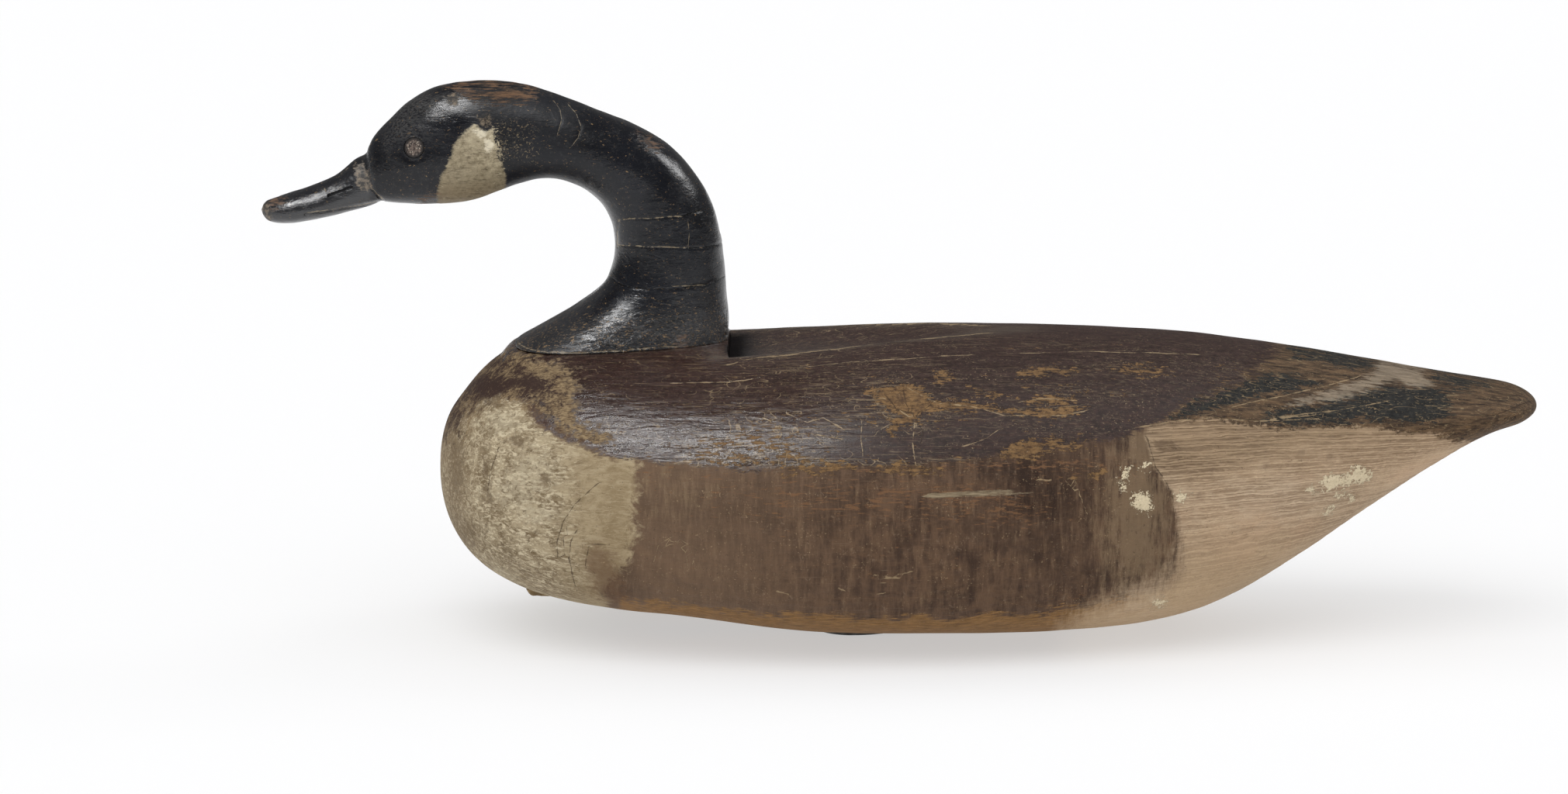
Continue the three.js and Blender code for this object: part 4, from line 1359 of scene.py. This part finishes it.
def eye_socket(side):
    r = EYE_DIAMETER / 2 + GAP
    low, high = -EYE_SINK, CUT_REACH
    place = side_place(EYE_ROW, EYE_UP, side)
    return turned("socket", [(0, low), (r, low), (r, high), (0, high)], SOCKET_AROUND, place)


def nostril(side):
    """A slot with round ends, to be sunk into the side of the bill."""
    place = side_place(NOSTRIL_ROW, NOSTRIL_UP, side)
    out = place.col[2].to_3d()
    tilt = math.radians(NOSTRIL_TILT)
    ahead = Vector((-math.cos(tilt), 0, -math.sin(tilt)))
    ahead = (ahead - out * ahead.dot(out)).normalized()
    basis = Matrix((ahead, out.cross(ahead), out)).transposed().to_4x4()
    r = NOSTRIL_WIDTH / 2
    half = NOSTRIL_LENGTH / 2 - r
    outline = [(math.copysign(half, math.cos(a)) + r * math.cos(a), r * math.sin(a))
               for a in turns(NOSTRIL_AROUND) + 0.01]
    rings = np.array([[(x, y, z) for x, y in outline] for z in (-NOSTRIL_DEPTH, CUT_REACH)])
    piece = mesh_object("nostril", rings, (0, 0, -NOSTRIL_DEPTH), (0, 0, CUT_REACH))
    piece.data.transform(Matrix.Translation(place.translation) @ basis)
    return piece


def build_head():
    places = [0.0, *even_places(head_points, 0, LAST_ROW, HEAD_RINGS)]
    rings = even_rings(head_points, places, HEAD_AROUND)
    relief = head_relief(rings)
    relief[[0, 1, -1]] = 0
    rings = rings + outward(rings) * relief[..., None]
    tip = head_points(np.array(float(LAST_ROW)), np.array(0.0))
    head = mesh_object("decoy_head", rings, rings[0].mean(axis=0), tip)
    cut(head, [eye_socket(1), eye_socket(-1), nostril(1), nostril(-1)])
    set_marks(
        head,
        {"cheek": [CHEEK], "grey": HEAD_GREY, "speckled": [SPECKLED]},
        {"worn": HEAD_WORN},
        {"scratch_and_highlight": HEAD_SCRATCHES_AND_HIGHLIGHTS, "crack": HEAD_CRACKS},
    )
    points = corners(head)
    places = seen(points)
    set_fields(head, {
        "height": points[:, 2] - SEAT_LEVEL,
        "dust_and_sheen": soft_spots(places, DUST_AND_SHEEN_SPOTS),
        "pale": soft_spots(places, CHEEK_SPOTS),
    })
    finish_piece(head, head_look(), ["head_and_neck"])


def build_eye(name, side, look):
    """A worn round eye: a low pitted dome with a rounded rim."""
    r = EYE_DIAMETER / 2
    low = -EYE_SINK + GAP
    dome = [(share * r, EYE_PROUD * (1 - share**2)) for share in np.linspace(0.94, 0.06, 16)]
    profile = [(0, low), (0.96 * r, low), (r, low + 0.0003), (r, -0.0004), (0.98 * r, -0.0001),
               *dome, (0, EYE_PROUD)]
    eye = turned("decoy_" + name, profile, EYE_AROUND, Matrix.Identity(4))
    points = corners(eye)
    face = ease(points[:, 2], -0.0003, 0)
    points[:, 2] += face * EYE_PITS * (lumps(points, (0.0016,) * 3, 2.0 * side) - 0.3)
    eye.data.vertices.foreach_set("co", points.ravel())
    set_fields(eye, {"rim": np.hypot(points[:, 0], points[:, 1]) / r})
    eye.data.transform(side_place(EYE_ROW, EYE_UP, side))
    finish_piece(eye, look, [name], 60)


def pad_ring(z, grown):
    """The pad's egg-shaped outline, wider towards the breast, grown by an amount."""
    a = np.cos(turns(PAD_AROUND))
    x = BREAST_X + PAD_MIDDLE + a * (PAD_LENGTH / 2 + grown)
    half = (1 - PAD_WIDER_FRONT * a) * (PAD_WIDTH / 2 / PAD_WIDEST + grown)
    return np.stack([x, np.sin(turns(PAD_AROUND)) * half, 0 * x + z], axis=-1)


def pad_pocket():
    rings = np.array([pad_ring(PAD_TOP + GAP, GAP), pad_ring(-CUT_REACH, GAP)])
    return lidded("pad_pocket", rings)


def build_pad():
    """The poured lead pad, with a soft uneven edge and a dimpled underside."""
    sides = [pad_ring(z, 0) for z in np.linspace(PAD_TOP, PAD_BEVEL, 10)]
    bevel = [pad_ring(PAD_BEVEL * (1 - math.sin(a)), -PAD_BEVEL * (1 - math.cos(a)))
             for a in np.linspace(0.2, math.pi / 2, 8)]
    under = [pad_ring(0, -PAD_BEVEL - inward) for inward in np.linspace(0.001, 0.021, 16)]
    rings = np.array(sides + bevel + under)
    shrink = PAD_SHRINKAGE * (0.5 + lumps(rings, (0.012,) * 3))
    away = rings - rings.mean(axis=1, keepdims=True)
    away[..., 2] = 0
    away /= np.linalg.norm(away, axis=2, keepdims=True) + 1e-9
    rings -= away * np.where(rings[..., 2] < BELLY_RISE, shrink, 0)[..., None]
    dimpled = PAD_DIMPLES * (0.5 + lumps(rings[-len(under):], (0.006,) * 3, 4))
    rings[-len(under):, :, 2] += np.maximum(dimpled, 0)
    pad = lidded("decoy_pad", rings)
    finish_piece(pad, lead_look(), ["ballast_pad"])


def tie_outline(grown):
    """The tie's outline from the side, with round lower corners."""
    low = TIE_BELLY - TIE_DROP - grown
    high = TIE_BELLY + TIE_INSET + grown
    left = BREAST_X + TIE_FRONT - grown
    right = left + TIE_LENGTH + 2 * grown
    front = [(left + TIE_ROUND * (1 - math.cos(a)), low + TIE_ROUND * (1 - math.sin(a)))
             for a in np.linspace(0, math.pi / 2, 12)]
    rear = [(left + right - x, z) for x, z in reversed(front)]
    rise = np.linspace(low + TIE_ROUND, high, 8)[1:]
    lid = np.linspace(right, left, 14)[1:-1]
    bottom = np.linspace(left + TIE_ROUND, right - TIE_ROUND, 8)[1:-1]
    return np.array([*front, *[(x, low) for x in bottom], *rear, *[(right, z) for z in rise],
                     *[(x, high) for x in lid], *[(left, z) for z in rise[::-1]]])


def tie_block(name, grown, rounding=0.0):
    """The tie as one closed block, its edges rounded off by a radius."""
    outline = tie_outline(grown)
    half = TIE_THICKNESS / 2 + grown
    middle = outline.mean(axis=0)
    rings = []
    for share in np.sin(np.linspace(-math.pi / 2, math.pi / 2, 22 if rounding else 2)):
        inset = rounding * (1 - math.sqrt(max(1 - abs(share) ** 6, 0)))
        shrunk = middle + (outline - middle) * (1 - inset / (TIE_THICKNESS / 2))
        rings.append([(x, share * half, z) for x, z in shrunk])
    return lidded(name, np.array(rings))


def build_tie():
    tie = tie_block("decoy_tie", 0, TIE_EDGE)
    points = corners(tie)
    out = np.array([vertex.normal for vertex in tie.data.vertices])
    points -= out * TIE_GRAIN * (0.5 + lumps(points, (0.004,) * 3))[:, None]
    tie.data.vertices.foreach_set("co", points.ravel())
    finish_piece(tie, leather_look(), ["line_tie"])


def floor_look():
    look = Look("floor")
    settings = {"Base Color": linear(*FLOOR_COLOUR), "Roughness": 1, "Specular IOR Level": 0,
                "Emission Color": (1, 1, 1, 1), "Emission Strength": FLOOR_GLOW}
    for name, value in settings.items():
        look.shader.inputs[name].default_value = value
    return look.material


def build_floor():
    """A pale level floor that reaches beyond the picture."""
    sides = (-FLOOR_REACH, FLOOR_REACH)
    mesh = bpy.data.meshes.new("floor")
    mesh.from_pydata([(x, y, 0) for y in sides for x in sides], [], [(0, 1, 3, 2)])
    mesh.materials.append(floor_look())
    floor = add_object("floor", mesh)


def build_studio():
    build_floor()
    world = bpy.data.worlds.new("studio")
    world.use_nodes = True
    sky = world.node_tree.nodes["Background"]
    sky.inputs["Color"].default_value = (1, 1, 1, 1)
    sky.inputs["Strength"].default_value = SKY_STRENGTH
    bpy.context.scene.world = world
    for name, towards, wide, strength, highlight in LIGHTS:
        data = bpy.data.lights.new(name, "SUN")
        data.energy = strength
        data.angle = math.radians(wide)
        lamp = add_object(name, data)
        lamp.rotation_euler = Vector(towards).to_track_quat("-Z", "Y").to_euler()
        lamp.visible_glossy = highlight
        lamp.visible_diffuse = not highlight


def build_camera():
    data = bpy.data.cameras.new("camera")
    data.lens = LENS
    data.sensor_width = SENSOR
    data.sensor_fit = "HORIZONTAL"
    camera = add_object("camera", data)
    camera.location = EYE_POINT
    camera.rotation_euler = (TARGET - EYE_POINT).to_track_quat("-Z", "Y").to_euler()
    bpy.context.scene.camera = camera
    bpy.context.scene.view_settings.view_transform = "Standard"


build_camera()
build_studio()
build_body()
build_head()
worn_eye = eye_look()
for name, side in (("eye_left", -1), ("eye_right", 1)):
    build_eye(name, side, worn_eye)
build_pad()
build_tie()
